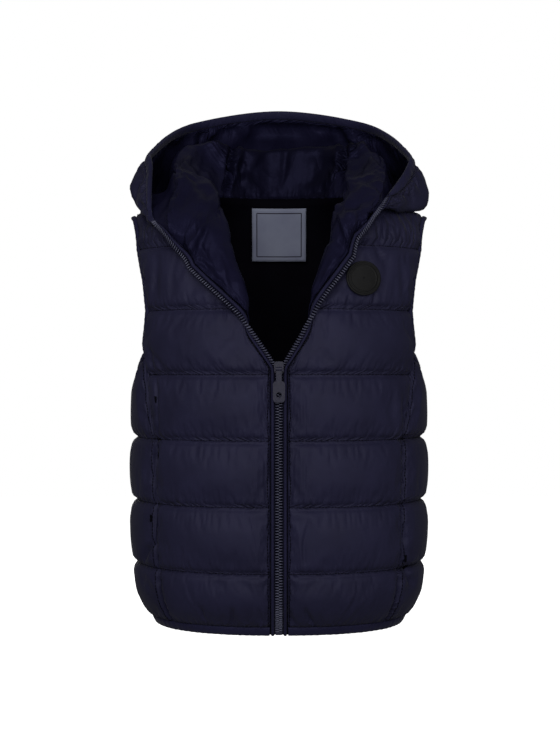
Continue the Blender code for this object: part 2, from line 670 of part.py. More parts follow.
# Facings, tapes and teeth run from the hem up the front and the hood in one strip
for hand, side in sides.items():
    width = len(sheets[hand][0]) - SHOULDER_CELLS
    strip, strip_normals = (
        np.concatenate([grids[hand][:, SHOULDER_CELLS:], grids["hood"][1:-2, ::side][:, -width:]])
        for grids in (sheets, normals)
    )
    hook = HOOK_END - SHOULDER_CELLS
    faced = slice(hook - FACING_COLUMNS, hook + 1)
    tape, teeth = slice(hook + 1, hook + 3), slice(hook + 3, hook + 5)
    facing_rows = slice(1, len(sheets[hand]) + sum(HOOD_CELLS[:FACED_KNOTS]))
    layer(
        f"facing_{hand}", strip[facing_rows, faced], strip_normals[facing_rows, faced],
        -SKIN - SEAM_GAP, -SEAM_GAP, "navy shell",
    )
    layer(f"zip_tape_{hand}", strip[:, tape], strip_normals[:, tape], *TAPE_WALL, "navy tape")
    layer(f"zip_teeth_{hand}", strip[1:, teeth], strip_normals[1:, teeth], *TEETH_WALL, "navy plastic")

# Bindings
z = np.linspace(HEM_TOP - SEAM_GAP, HEM, 3)
start = degrees_at(z, TAPE_EDGE + SEAM_GAP)
turns = start + np.linspace(0, 1, 49)[:, None] * (360 - 2 * start)
place = z[:, None], turns.T
layer("hem_binding", body(*place), outward(*place), -SKIN, SEAM_WALL + SKIN, "navy binding")
for hand, side in sides.items():
    up = heights[hand] > ARMHOLE_FLOOR["height"][0]
    down, floor = np.arange(back_rows - 2, floor_row, -1), np.arange(SIDE_CELLS, -1, -1)
    sheet, back, back_normals = sheets[hand][up], sheets["back"][:, ::-side], normals["back"][:, ::-side]
    loop = np.concatenate([sheet[:, 0], back[down, SIDE_CELLS], back[floor_row, floor]])
    loop_normals = np.concatenate([
        normals[hand][up, 0], back_normals[down, SIDE_CELLS], back_normals[floor_row, floor],
    ])
    away = unit(np.concatenate([
        sheet[:, 0] - sheet[:, 1], back[down, SIDE_CELLS] - back[down, SIDE_CELLS + 1],
        back[floor_row, floor] - back[floor_row - 1, floor],
    ]))
    for _ in range(2):
        away = unit(np.roll(away, 1, 0) + 2 * away + np.roll(away, -1, 0))
    near = np.full((len(loop), 1), 2 * SEAM_GAP)
    near[-1] *= 2
    strip = np.stack([loop + near * away, loop + BINDING * away])
    layer(
        f"armhole_binding_{hand}", strip, np.stack([loop_normals] * 2), -SKIN, SEAM_WALL + SKIN,
        "navy binding", ring=True,
    )

# Badge, on the crown of a channel of the left front
chest = (slice(None), slice(BODY_COLUMNS))
outer = (sheets["left"][chest] + normals["left"][chest] * thickness["left"][chest][..., None]).reshape(-1, 3)
outer = outer[np.hypot(outer[:, 0] - BADGE["x"], outer[:, 2] - BADGE["z"]) < BADGE["seat"] * BADGE["radius"]]
v, u = np.meshgrid(np.linspace(-1, 1, 11), np.linspace(-1, 1, 11), indexing="ij")
across, up = u * np.sqrt(1 - v * v / 2), v * np.sqrt(1 - u * u / 2)
x, z = BADGE["x"] + BADGE["radius"] * across, BADGE["z"] + BADGE["radius"] * up
y, stray = fitted_patch(outer, x, z)
seat = np.stack([x, y + stray.min() - 2 * SEAM_GAP, z], -1)
on_rim = np.hypot(across, up) > 1 - BADGE["rim"] / BADGE["radius"]
rise = BADGE["thick"] + np.where(on_rim, BADGE["rim_rise"], 0)
wall("badge", seat, seat - rise[..., None] * (0, 1, 0), "black rubber")

# Zip box, slider and pull tab
hem_face = body(HEM, 0)[1]
block(
    "zip_box", (-ZIP_BOX["half"], hem_face - ZIP_BOX["front"], HEM),
    (ZIP_BOX["half"], hem_face - ZIP_BOX["back"], HEM_TOP - 1), bevel=ZIP_BOX["bevel"],
)
face = body(SLIDER_HEIGHT, 0)[1]
half, low, high = SLIDER["half"], SLIDER["low"], SLIDER["high"]
plates = []
for name, (near, far) in {"zip_slider": SLIDER["face"], "slider_back": SLIDER["back"]}.items():
    plates.append(block(name, (-half, face - far, low), (half, face - near, high), bevel=SLIDER["bevel"]))
slider, slider_back = plates
combine(slider, slider_back, "UNION")
into_face = face - SLIDER["face"][1] + SLIDER["overlap"]
into_back = face - SLIDER["back"][0] - SLIDER["overlap"]
combine(slider, block(
    "slider_post", (-SLIDER["post"], into_face, SLIDER["post_low"]),
    (SLIDER["post"], into_back, SLIDER["post_high"]),
), "UNION")
for hand, side in sides.items():
    lug_x = side * SLIDER["lug_x"]
    combine(slider, block(
        f"slider_lug_{hand}", (lug_x - SLIDER["lug_half"], face - SLIDER["lug_front"], SLIDER["lug_low"]),
        (lug_x + SLIDER["lug_half"], into_face, SLIDER["lug_high"]),
    ), "UNION")
pin = (0, face - SLIDER["pin_front"], SLIDER["pin_z"])
combine(slider, rod("slider_pin", SLIDER["pin_radius"], 2 * SLIDER["lug_x"], (0, 0, 0), "X", pin), "UNION")
pull = rod("zip_pull", PULL["eye_radius"], PULL["eye_width"], (0, 0, 0), "X", pin)
thick, neck_half, half = (PULL[name] for name in ("half_thick", "neck_half", "half"))
combine(pull, block(
    "pull_neck", (-neck_half, -thick, PULL["neck_low"]), (neck_half, thick, PULL["neck_top"]), pin,
), "UNION")
combine(pull, block(
    "pull_tab", (-half, -thick, PULL["low"]), (half, thick, PULL["top"]), pin, PULL["bevel"],
), "UNION")
combine(pull, rod("pull_bore", PULL["bore_radius"], 2 * half, (0, 0, 0), "X", pin), "DIFFERENCE")
hole_at = (0, 0, PULL["hole_z"])
combine(pull, rod("pull_hole", PULL["hole_radius"], 4 * thick, hole_at, "Y", pin), "DIFFERENCE")
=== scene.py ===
import bpy
import numpy as np
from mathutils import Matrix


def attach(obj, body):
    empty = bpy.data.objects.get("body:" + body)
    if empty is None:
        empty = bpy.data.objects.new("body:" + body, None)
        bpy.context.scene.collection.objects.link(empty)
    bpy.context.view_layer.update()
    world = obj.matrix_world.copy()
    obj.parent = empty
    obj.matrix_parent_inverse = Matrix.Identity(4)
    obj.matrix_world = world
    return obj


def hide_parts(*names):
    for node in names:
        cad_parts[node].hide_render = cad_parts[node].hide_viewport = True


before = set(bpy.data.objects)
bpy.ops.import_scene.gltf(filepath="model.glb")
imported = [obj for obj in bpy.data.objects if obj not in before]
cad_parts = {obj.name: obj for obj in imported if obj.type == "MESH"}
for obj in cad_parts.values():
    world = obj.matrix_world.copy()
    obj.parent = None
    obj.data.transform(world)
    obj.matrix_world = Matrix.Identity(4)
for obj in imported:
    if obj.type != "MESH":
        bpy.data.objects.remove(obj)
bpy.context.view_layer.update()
mm = 0.001
hands = {"right": -1, "left": 1}
rng = np.random.default_rng(7)
print("frame loaded")


# Sizes in millimetres, as in the solids

def table(names, *rows):
    # Named columns of numbers, from rows
    return dict(zip(names.split(), np.array(rows, float).T))


seam = {
    "wall": 3.0, "edge": 1.8, "rise": 18.0, "sideRise": 11.0, "rounding": 7.0, "sideFull": 0.2, "skin": 0.8,
    "binding": 4.5, "band": 9.0, "overlap": 0.6,
}
puff = {"body": 4.0, "top": 2.0, "flap": 1.0, "underFlap": 1.5, "hood": 1.6, "roundness": 2.2}
hem = {"low": -395.0, "high": -386.0}
quiltTop, quiltStep = -30.5, 61.0
quiltLines = np.append(hem["high"], quiltTop - quiltStep * np.arange(5, -1, -1))
floorLine = 4
sliderHeight = -147.0
eye = {"away": 1150.0, "height": -151.0}
zipChain = {"edge": 8.3, "teeth": 3.2, "halfGap": 0.15}
squareness = 2.3
girth = table(
    "height halfWidth frontDepth backDepth",
    (-395, 119, 76, 74), (-386, 123.5, 80, 78), (-368, 132, 90, 88), (-335.5, 137.5, 96, 94),
    (-274.5, 139, 96, 93), (-213.5, 139, 95, 90), (-152.5, 137, 92, 86), (-91.5, 137, 86, 83),
    (-30.5, 140, 72, 80),
)
frontEdge = table(
    "height degrees",
    (-395, 50), (-213.5, 53), (-122, 67.5), (-103.7, 64.5), (-91.5, 63), (-61, 66), (-30.5, 73),
)
backEdge = table(
    "height degrees",
    (-395, 97), (-152.5, 97), (-140.3, 103), (-122, 111.5), (-103.7, 115.5), (-91.5, 117), (-61, 115),
    (-30.5, 108),
)
armholeFloor = table(
    "degrees height",
    (50, -135), (66.7, -135), (75, -144), (82, -148.5), (90, -150), (97, -149), (110, -152.5), (180, -152.5),
)
shoulderTip, neckPoint = np.array([141.0, -2, -1.5]), np.array([70.0, 4, 26])
shoulderLift = {"reach": 24.0, "out": 1.5, "up": 4.0}
neckSide, backNeck = np.array([70.0, -17, 20]), np.array([0.0, 72, 34])
lapels = {
    -1: table(
        "height rollX zipX zipZ lift turn",
        (-147, 25, 0.15, -147, 0, 0), (-125, 31, 15, -125, 3, 60), (-100, 33, 30.7, -105, 9, 130),
        (-75, 37, 48.5, -88, 14, 170), (-50, 46, 66.5, -71, 15, 180), (-30.5, 52, 80, -57, 15, 180),
    ),
    1: table(
        "height rollX zipX zipZ lift turn",
        (-147, 25, 0.15, -147, 0, 0), (-125, 31, 14, -125, 3, 60), (-100, 33, 27, -103, 9, 130),
        (-75, 38, 41.4, -83, 14, 170), (-50, 47, 56.4, -63, 15, 180), (-30.5, 55, 67.5, -46.8, 15, 180),
    ),
}
rollTop, rollReach = np.array([60.0, -38, 9]), 22 * np.array([-0.7, -0.65, -0.3])
flapHandle = {-1: np.array([70.0, -78, -10]), 1: np.array([62.0, -80, -8])}
zipAtNeck = {-1: np.array([90.5, -78, -43.5]), 1: np.array([74.4, -80, -27.3])}
zipTop = {-1: np.array([122.7, -52, -1.5]), 1: np.array([104.8, -44, 21])}
zipBow = 8.0
hoodShares = (0.2, 0.46, 0.75, 1.0)
hoodKnots = {
    "stand": ((69, -40, 28), (75, 5, 44), (60, 58, 62), (0, 75, 64)),
    "crest": ((92, -36, 32), (95, 5, 54), (82, 57, 90), (0, 80, 90)),
    "fold": ((100, -34, 30), (103, 7, 52), (92, 69, 86), (0, 94, 86)),
    "pouch": ((108, -28, 22), (114, 9, 26), (98, 90, -6), (0, 112, -25)),
    "bulge": ((135, -18, 14), (138, 8, 30), (110, 112, 38), (0, 148, 40)),
    "rim": ((124, -20, 50), (126, 12, 74), (88, 92, 119), (0, 116, 137)),
}
zipShares = (0.12, 0.25, 0.45, 0.6, 0.8, 1.0)
hoodFill = table(
    "share puff",
    (0, 0), (0.08, 0.1), (0.16, 0.6), (0.25, 0.5), (0.4, 0.5), (0.6, 0.7), (0.8, 1.3), (0.95, 0.8), (1, 0.2),
)
cells = {
    "channel": 18, "below": 3, "top": 12, "shoulder": 24, "neckline": 18, "hook": 16, "side": 28, "neck": 60,
    "hood": (10, 10, 10, 15, 15, 15), "hoodCentre": 15, "tape": 4, "facing": 22, "fine": 3,
}
cells["body"] = cells["shoulder"] + cells["neckline"]
hookEnd = cells["body"] + cells["hook"]
tapePlaces = np.array([0, 1.2, 4.2, zipChain["edge"] - zipChain["teeth"], zipChain["edge"]])
tapePlaces /= zipChain["edge"]


# Curves and sheets

def unit(vector):
    # Each vector over its length
    return vector / np.maximum(np.linalg.norm(vector, axis=-1, keepdims=True), 1e-9)


def smooth(at, stations, values):
    # A cubic through the values at the stations, whose slopes come from their neighbours
    stations, values = np.asarray(stations, float), np.asarray(values, float)
    slopes = np.gradient(values, stations, axis=0)
    at = np.clip(np.asarray(at, float), stations[0], stations[-1])
    i = np.clip(np.searchsorted(stations, at, side="right") - 1, 0, len(stations) - 2)
    step = stations[i + 1] - stations[i]
    t = (at - stations[i]) / step
    if values.ndim > 1:
        step, t = step[..., None], t[..., None]
    rise = t * t * (3 - 2 * t)
    lean = t * (1 - t) ** 2 * slopes[i] + t * t * (t - 1) * slopes[i + 1]
    return (1 - rise) * values[i] + rise * values[i + 1] + step * lean


def ease(value):
    # From 0 to 1 with level ends: 3 s^2 - 2 s^3
    share = np.clip(value, 0, 1)
    return share * share * (3 - 2 * share)


def lengths(path):
    # The distance along a path up to each of its points
    return np.append(0, np.cumsum(np.linalg.norm(np.diff(path, axis=0), axis=1)))


def runs(grid, axis):
    # The distance along each row or column of a grid up to each point
    steps = np.linalg.norm(np.diff(grid, axis=axis), axis=-1)
    return np.concatenate([np.zeros_like(np.take(grid[..., 0], [0], axis)), np.cumsum(steps, axis)], axis)


def carried(at, run, values):
    # Values known along a run, read at other distances along it
    return np.stack([np.interp(at, run, axis) for axis in values.T], -1)


def spaced(path, at):
    # The points of a path at these distances along it
    return carried(at, lengths(path), path)


def finer(grid, times):
    # A grid with this many cells for each one along its rows, on smooth curves through its points
    if grid.ndim == 2:
        return finer(grid[..., None], times)[..., 0]
    rows, columns, size = grid.shape
    at = np.linspace(0, columns - 1, times * (columns - 1) + 1)
    flat = np.moveaxis(grid, 1, 0).reshape(columns, -1)
    return np.moveaxis(smooth(at, np.arange(columns), flat).reshape(-1, rows, size), 0, 1)


def rippleCurve(length, wave):
    # Uneven waves of about this length
    count = max(int(length / wave * 2), 4)
    at = np.linspace(0, length, count) + rng.uniform(-0.25, 0.25, count) * wave / 2
    return np.sort(at), np.where(np.arange(count) % 2, 1, -1) * rng.uniform(0.3, 1, count)


def gathers(run, distance, wave, reach, depth):
    # Short folds that leave a line of stitching: uneven waves along it, each with its own slant and length
    end = run.max()
    at = run + 0.5 * distance * smooth(run, *rippleCurve(end, 6 * wave))
    length = reach * (0.7 + 0.45 * smooth(at, *rippleCurve(end, 2.5 * wave)))
    fold = smooth(at, *rippleCurve(end, wave))
    return depth * fold * ease(distance / 2.5 + 0.25) * np.exp(-((distance / length) ** 2))


def creases(across, up, rows):
    # Troughs and ridges at listed places, a bell across each: its middle, its lean from upright in degrees,
    # its length, width and rise
    height = np.zeros(across.shape)
    for x, z, lean, length, width, rise in zip(*rows.values()):
        sine, cosine = np.sin(np.radians(lean)), np.cos(np.radians(lean))
        along = (across - x) * sine + (up - z) * cosine
        aside = (across - x) * cosine - (up - z) * sine
        height += rise * np.exp(-((aside / width) ** 2) - (2 * along / length) ** 4)
    return height


facet = {"density": 1.3, "far": 2.0, "blunt": 0.02, "mean": 0.45}


def facets(points, size, depth):
    # Crumpled cloth: the distance, in sizes, to the nearest of points scattered on it, so that flat facets
    # meet in ridges. The depth scales it about its mean
    grid = points / (size, size, 2 * size)
    places = grid.reshape(-1, 3)
    area = np.linalg.norm(np.cross(np.gradient(grid, axis=0), np.gradient(grid, axis=1)), axis=-1)
    seeds = places[rng.choice(len(places), int(area.sum() * facet["density"]), p=area.ravel() / area.sum())]
    nearest = np.full(len(places), facet["far"] ** 2)
    for seed in seeds:
        nearest = np.minimum(nearest, np.sum((places - seed) ** 2, -1))
    return depth * (np.sqrt(nearest + facet["blunt"]).reshape(points.shape[:2]) - facet["mean"])


def body(height, degrees):
    # The inside of the body: a superellipse at each height, whose front and back halves differ
    height, degrees = np.broadcast_arrays(np.asarray(height, float), np.asarray(degrees, float))
    half, front, back = (
        smooth(height, girth["height"], girth[name]) for name in ("halfWidth", "frontDepth", "backDepth")
    )
    side, ahead = np.sin(np.radians(degrees)), np.cos(np.radians(degrees))
    x = half * np.sign(side) * np.abs(side) ** (2 / squareness)
    y = -np.where(ahead > 0, front, back) * np.sign(ahead) * np.abs(ahead) ** (2 / squareness)
    return np.stack([x, y, height], -1)


def outward(height, degrees):
    # The body's normal: across the steps round it and up it
    step = 0.5
    around = body(height, degrees + step) - body(height, degrees - step)
    up = body(height + step, degrees) - body(height - step, degrees)
    return unit(np.cross(around, up))


def degreesAt(height, x):
    # The turn at which the body has this X: the superellipse solved for its angle
    half = smooth(height, girth["height"], girth["halfWidth"])
    return np.degrees(np.arcsin((x / half) ** (squareness / 2)))


def crown(height):
    # 0 on a quilt line and 1 midway between two, a little flatter than a round tube
    i = np.clip(np.searchsorted(quiltLines, height, side="right") - 1, 0, len(quiltLines) - 2)
    share = (height - quiltLines[i]) / (quiltLines[i + 1] - quiltLines[i])
    return np.clip(1 - np.abs(2 * share - 1) ** puff["roundness"], 0, 1) ** (1 / puff["roundness"])


def edgeRise(distance, reach=None):
    # A quarter circle from 0 on the edge to 1 at its reach
    return np.sqrt(1 - (1 - np.clip(distance / (reach or seam["rise"]), 0, 1)) ** 2)


def bezier(a, b, c, d):
    # A cubic from a to d with handles b and c
    t = np.linspace(0, 1, 60)[:, None]
    return (1 - t) ** 3 * a + 3 * (1 - t) ** 2 * t * b + 3 * (1 - t) * t * t * c + t**3 * d


def channelHeights():
    # Even rows within each channel, then the top quilt line
    rows = [np.linspace(a, b, cells["channel"], endpoint=False) for a, b in zip(quiltLines, quiltLines[1:])]
    return np.append(np.concatenate(rows), quiltLines[-1])


topShares = np.linspace(0, 1, cells["top"] + 1)[1:]


def channelCrowns(heights):
    # How far each row swells: the crown of its channel, then the flatter one over the shoulder
    shoulder = crown(quiltLines[-2] + topShares * quiltStep)
    return np.append(puff["body"] * crown(heights), puff["top"] * shoulder)


def frontRow(path, hook):
    # Body columns to the roll, hook columns to the tape, then the tape and the teeth
    roll = lengths(path)[-1]
    whole = np.concatenate([path, hook[1:]])
    end = lengths(whole)[-1]
    at = np.concatenate([
        np.linspace(0, roll, cells["body"] + 1),
        np.linspace(roll, end - zipChain["edge"], cells["hook"] + 1)[1:],
    ])
    row = spaced(whole, at)
    return np.concatenate([row, row[-1] + tapePlaces[1:, None] * (whole[-1] - row[-1])])


def frontPath(height, lapel):
    # The body part of a row, and its hook: flat below the slider, rolled outward above it
    start = np.interp(height, frontEdge["height"], frontEdge["degrees"])
    place = {name: smooth(height, lapel["height"], lapel[name]) for name in lapel}
    roll = degreesAt(height, place["rollX"])
    path = body(height, np.linspace(start, roll, 90))
    if height <= sliderHeight:
        return path, body(height, np.linspace(roll, degreesAt(height, zipChain["halfGap"]), 60))
    ahead, out = unit(path[-1] - path[-2]), outward(height, roll)
    zipDegrees = degreesAt(place["zipZ"], place["zipX"])
    end = body(place["zipZ"], zipDegrees) + place["lift"] * outward(place["zipZ"], zipDegrees)
    turn = np.radians(place["turn"])
    reach = 2 / 3 * max(place["lift"], np.linalg.norm(end - path[-1]) / 2 * (1 + np.cos(turn)) / 2)
    back = (path[-1] + place["lift"] * out - end) * (1 - np.cos(turn)) / 2
    handle = end + back - reach * (np.cos(turn) * ahead + np.sin(turn) * out)
    return path, bezier(path[-1], path[-1] + reach * ahead, handle, end)


def frontTop(side):
    # Shoulder seam, neckline, and the lapel's top as it flares out
    shoulder = np.linspace(shoulderTip, neckPoint, cells["shoulder"] + 1)
    neckline = smooth(np.linspace(0, 2, 41), (0, 1, 2), (neckPoint, neckSide, rollTop))
    hook = bezier(rollTop, rollTop + rollReach, flapHandle[side], zipAtNeck[side])
    row = frontRow(neckline, hook)
    neckline = spaced(neckline, np.linspace(0, lengths(neckline)[-1], cells["neckline"] + 1))
    return np.concatenate([shoulder, neckline[1:], row[cells["body"] + 1 :]])


def overShoulder(low, top, roundShare):
    # A quarter ellipse over the shoulder, straighter at the neck
    shares = topShares[:, None, None]
    turn = shares * np.pi / 2
    share = np.concatenate([np.repeat(1 - np.cos(turn), 2, -1), np.sin(turn)], -1)
    share = shares + (share - shares) * np.asarray(roundShare)[None, :, None]
    return low + share * (top - low)


def frontSheet(side):
    # Rows from the hem to the top quilt line, then rows over the shoulder, with their heights and crowns
    below = np.linspace(hem["low"], hem["high"], cells["below"], endpoint=False)
    heights = np.concatenate([below, channelHeights()])
    rows = np.array([frontRow(*frontPath(height, lapels[side])) for height in heights])
    rounded = np.interp(np.arange(rows.shape[1]), (0, cells["shoulder"], cells["body"]), (1, 0.8, 0.3))
    top = overShoulder(rows[-1], frontTop(side), rounded)
    return np.concatenate([rows, top]), np.append(heights, quiltTop + topShares), channelCrowns(heights)


def frontWall(sheet, heights, crowns, side):
    # Thin on edges and quilt lines, full between, and thin in the lapel and under it
    along = runs(sheet[:, : hookEnd + 1], 1)
    sewn = np.where(heights < armholeFloor["height"][0], seam["sideFull"], 0)[:, None]
    full = crowns[:, None] * (sewn + (1 - sewn) * edgeRise(along, seam["sideRise"]))
    full = full * edgeRise(along[:, -1:] - along)
    isOpen = ease((heights - sliderHeight) / 25)[:, None]
    flap = isOpen * ease((np.arange(hookEnd + 1) - cells["body"] + 5) / 6)
    full = np.minimum(full, puff["body"] + (puff["flap"] - puff["body"]) * flap)
    reach = smooth(heights, lapels[side]["height"], lapels[side]["zipX"])[:, None] + seam["rise"]
    under = isOpen * ease((reach - sheet[:, : hookEnd + 1, 0]) / 12)
    full = np.minimum(full, puff["body"] + (puff["underFlap"] - puff["body"]) * under)
    return full, np.maximum(flap, under)


def sheetNormals(sheet, sign):
    # Across the steps along the rows and the columns
    return unit(sign * np.cross(np.gradient(sheet, axis=1), np.gradient(sheet, axis=0)))


def backNeckline():
    # Half an ellipse from one neck point to the other, rising to the back of the neck
    turns = np.linspace(0, np.pi, 241)
    rise = np.sin(turns)
    curve = np.stack([
        -neckPoint[0] * np.cos(turns),
        neckPoint[1] + (backNeck[1] - neckPoint[1]) * rise,
        neckPoint[2] + (backNeck[2] - neckPoint[2]) * rise,
    ], -1)
    return spaced(curve, np.linspace(0, lengths(curve)[-1], cells["neck"] + 1))


def backSheet():
    # From the X < 0 side seam round to the other; the channel under the armholes ends on their floor
    rows, normals = [], []
    heights = channelHeights()
    low, line = quiltLines[floorLine - 1], quiltLines[floorLine]
    for height in heights:
        share = np.clip((height - low) / (line - low), 0, 1)
        inFloor = low < height <= line
        seamHeight = low + share * (armholeFloor["height"][0] - low) if inFloor else height
        start = np.interp(seamHeight, frontEdge["height"], frontEdge["degrees"])
        edge = smooth(height, backEdge["height"], backEdge["degrees"])
        turns = np.linspace(edge, 360 - edge, 240)
        main = lengths(body(height, turns))
        middle = np.interp(np.linspace(0, main[-1], 2 * cells["shoulder"] + cells["neck"] + 1), main, turns)
        sides = np.linspace(start, edge, cells["side"] + 1)[:-1]
        around = np.concatenate([sides, middle, 360 - sides[::-1]])
        level = np.full(len(around), height)
        if inFloor:
            floor = smooth(180 - np.abs(around - 180), armholeFloor["degrees"], armholeFloor["height"])
            level = low + share * (floor - low)
        rows.append(body(level, around)[::-1])
        normals.append(outward(level, around)[::-1])
    shoulder = np.linspace(shoulderTip, neckPoint, cells["shoulder"] + 1)
    top = np.concatenate([shoulder * (-1, 1, 1), backNeckline()[1:-1], shoulder[::-1]])
    main = rows[-1][cells["side"] : -cells["side"]]
    fromTip = np.minimum(np.arange(len(top)), np.arange(len(top))[::-1])
    rounded = np.interp(fromTip, (0, cells["shoulder"], cells["shoulder"] + cells["neck"] / 2), (1, 0.8, 0.2))
    above = overShoulder(main, top, rounded)
    aboveNormals = sheetNormals(np.concatenate([main[None], above]), -1)[1:]
    margin = ((0, 0), (cells["side"], cells["side"]), (0, 0))
    sheet = np.concatenate([rows, np.pad(above, margin, mode="edge")])
    normals = np.concatenate([normals, np.pad(aboveNormals, margin, mode="edge")])
    return sheet, normals, channelCrowns(heights)


def hoodSheet(neck):
    # Columns start on the neckline, and rows run round from zip to zip through the knots
    along = lengths(neck)
    half = along[-1] / 2
    shares = np.concatenate([[0], hoodShares, 2 - np.array(hoodShares[-2::-1]), [2]])
    dense = np.linspace(0, 2, 241)
    knots = [spaced(neck, dense * half)]
    for share, points in zip(zipShares, hoodKnots.values()):
        ends = {}
        for side in hands.values():
            low, high = zipAtNeck[side], zipTop[side]
            bow = np.array([0, 4 * zipBow * share * (1 - share), 0])
            ends[side] = (low + share * (high - low) - bow) * (side, 1, 1)
        points = np.array(points, float)
        knots.append(smooth(dense, shares, np.concatenate([
            [ends[-1]], points * (-1, 1, 1), points[-2::-1], [ends[1]],
        ])))
    columns = []
    for column in np.moveaxis(np.array(knots), 1, 0):
        run = lengths(column)
        stops = np.append(run[:-1], run[-1] - seam["band"])
        parts = zip(stops, stops[1:], cells["hood"])
        at = [np.linspace(a, b, count, endpoint=False) for a, b, count in parts]
        columns.append(smooth(np.concatenate([*at, [stops[-1], run[-1]]]), run, column))
    sheet = []
    for row in np.moveaxis(np.array(columns), 1, 0):
        run = lengths(row)
        line = spaced(row, np.interp(along / half, dense, run))
        first, last = spaced(row, (zipChain["edge"], run[-1] - zipChain["edge"]))
        line[: len(tapePlaces)] = first + tapePlaces[::-1, None] * (row[0] - first)
        line[-len(tapePlaces) :] = last + tapePlaces[:, None] * (row[-1] - last)
        sheet.append(line)
    sheet[0] = neck
    return np.array(sheet)


sheets, normals, heights, fullness, thin = {}, {}, {}, {}, {}
for hand, side in hands.items():
    sheet, heights[hand], crowns = frontSheet(side)
    fullness[hand], thin[hand] = frontWall(sheet, heights[hand], crowns, side)
    sheets[hand], normals[hand] = sheet * (side, 1, 1), sheetNormals(sheet, -1) * (side, 1, 1)
sheets["back"], normals["back"], backCrowns = backSheet()
for name in (*hands, "back"):
    # The padding lifts the cloth at the shoulder tips
    for side in hands.values():
        away = np.linalg.norm(sheets[name] - shoulderTip * (side, 1, 1), axis=-1, keepdims=True)
        lift = np.array([shoulderLift["out"] * side, 0, shoulderLift["up"]])
        sheets[name] = sheets[name] + np.exp(-((away / shoulderLift["reach"]) ** 2)) * lift
neckStart = cells["side"] + cells["shoulder"]
neck = np.concatenate([
    sheets["right"][-1, : cells["shoulder"] - 1 : -1],
    sheets["back"][-1, neckStart + 1 : neckStart + cells["neck"]],
    sheets["left"][-1, cells["shoulder"] :],
])
sheets["hood"] = hoodSheet(neck)
normals["hood"] = sheetNormals(sheets["hood"], -1)
for hand in hands:
    normals[hand][:, hookEnd:] = normals[hand][:, hookEnd + 2, None]
normals["hood"][:, : cells["tape"] + 1] = normals["hood"][:, 2, None]
normals["hood"][:, -1 - cells["tape"] :] = normals["hood"][:, -3, None]
print("sheets worked out")


# Materials

def linear(code):
    # An sRGB hex code as linear colour
    values = np.array([int(code[i : i + 2], 16) for i in (0, 2, 4)]) / 255
    return (*np.where(values <= 0.04045, values / 12.92, ((values + 0.055) / 1.055) ** 2.4).tolist(), 1)


def addNode(tree, kind, values=None, links=None, **settings):
    # One node with its settings, values and links
    made = tree.nodes.new(kind)
    for key, value in settings.items():
        setattr(made, key, value)
    for key, value in (values or {}).items():
        made.inputs[key].default_value = value
    for key, source in (links or {}).items():
        tree.links.new(source, made.inputs[key])
    return made


def newMaterial(name, **values):
    # A material with these values on its shader
    material = bpy.data.materials.new(name)
    material.use_nodes = True
    tree = material.node_tree
    shader = tree.nodes["Principled BSDF"]
    for key, value in values.items():
        shader.inputs[key.replace("_", " ")].default_value = value
    return material, tree, shader


def makeFinish(name, dark, light, noises, crumple=0.0, pucker=0.0, **values):
    # Noises have waves in a millimetre, a detail and a depth: the first clouds the colour from one code to
    # the other, and the rest are bumps laid on one another, with depths in millimetres. Crumples are facets
    # that meet in ridges. Puckers are sharp valleys where a noise, stretched away from the stitching, passes
    # its middle, and deepen with the square of how far the cloth is drawn in
    material, tree, shader = newMaterial(name, **values)
    place = addNode(tree, "ShaderNodeTexCoord").outputs
    layers = []
    for waves, detail, depth in noises:
        spread = addNode(tree, "ShaderNodeMapping", {"Scale": [waves / mm] * 3}, {"Vector": place["Object"]})
        links = {"Vector": spread.outputs["Vector"]}
        noise = addNode(tree, "ShaderNodeTexNoise", {"Scale": 1.0, "Detail": detail}, links)
        layers.append((noise.outputs["Fac"], depth))
    ramp = addNode(tree, "ShaderNodeValToRGB", links={"Fac": layers.pop(0)[0]})
    for stop, position, code in zip(ramp.color_ramp.elements, (0.35, 0.65), (dark, light)):
        stop.position, stop.color = position, linear(code)
    tree.links.new(ramp.outputs["Color"], shader.inputs["Base Color"])
    if crumple:
        spread = {"Rotation": (0.3, 0.5, 0.2), "Scale": (55, 55, 28)}
        turned = addNode(tree, "ShaderNodeMapping", spread, {"Vector": place["Object"]})
        links = {"Vector": turned.outputs["Vector"]}
        ridges = addNode(tree, "ShaderNodeTexVoronoi", {"Scale": 1.0}, links)
        layers.append((ridges.outputs["Distance"], crumple))
    if pucker:
        spread = addNode(tree, "ShaderNodeMapping", {"Scale": (100, 30, 100)}, {"Vector": place["UV"]})
        links = {"Vector": spread.outputs["Vector"]}
        height = addNode(tree, "ShaderNodeTexNoise", {"Scale": 1.0, "Detail": 1}, links).outputs["Fac"]
        for operation, value in (("SUBTRACT", 0.5), ("ABSOLUTE", 0.0), ("MULTIPLY", 5.0), ("MINIMUM", 1.0)):
            step = addNode(tree, "ShaderNodeMath", {1: value}, {0: height}, operation=operation)
            height = step.outputs["Value"]
        drawn = addNode(tree, "ShaderNodeAttribute", attribute_name="drawn").outputs["Fac"]
        drawn = addNode(tree, "ShaderNodeMath", {1: 2.0}, {0: drawn}, operation="POWER").outputs["Value"]
        height = addNode(tree, "ShaderNodeMath", links={0: height, 1: drawn}, operation="MULTIPLY")
        layers.append((height.outputs["Value"], pucker))
    links = {}
    for height, depth in layers:
        values = {"Strength": 1.0, "Distance": depth * mm}
        bump = addNode(tree, "ShaderNodeBump", values, {"Height": height, **links})
        links = {"Normal": bump.outputs["Normal"]}
    tree.links.new(bump.outputs["Normal"], shader.inputs["Normal"])
    return material


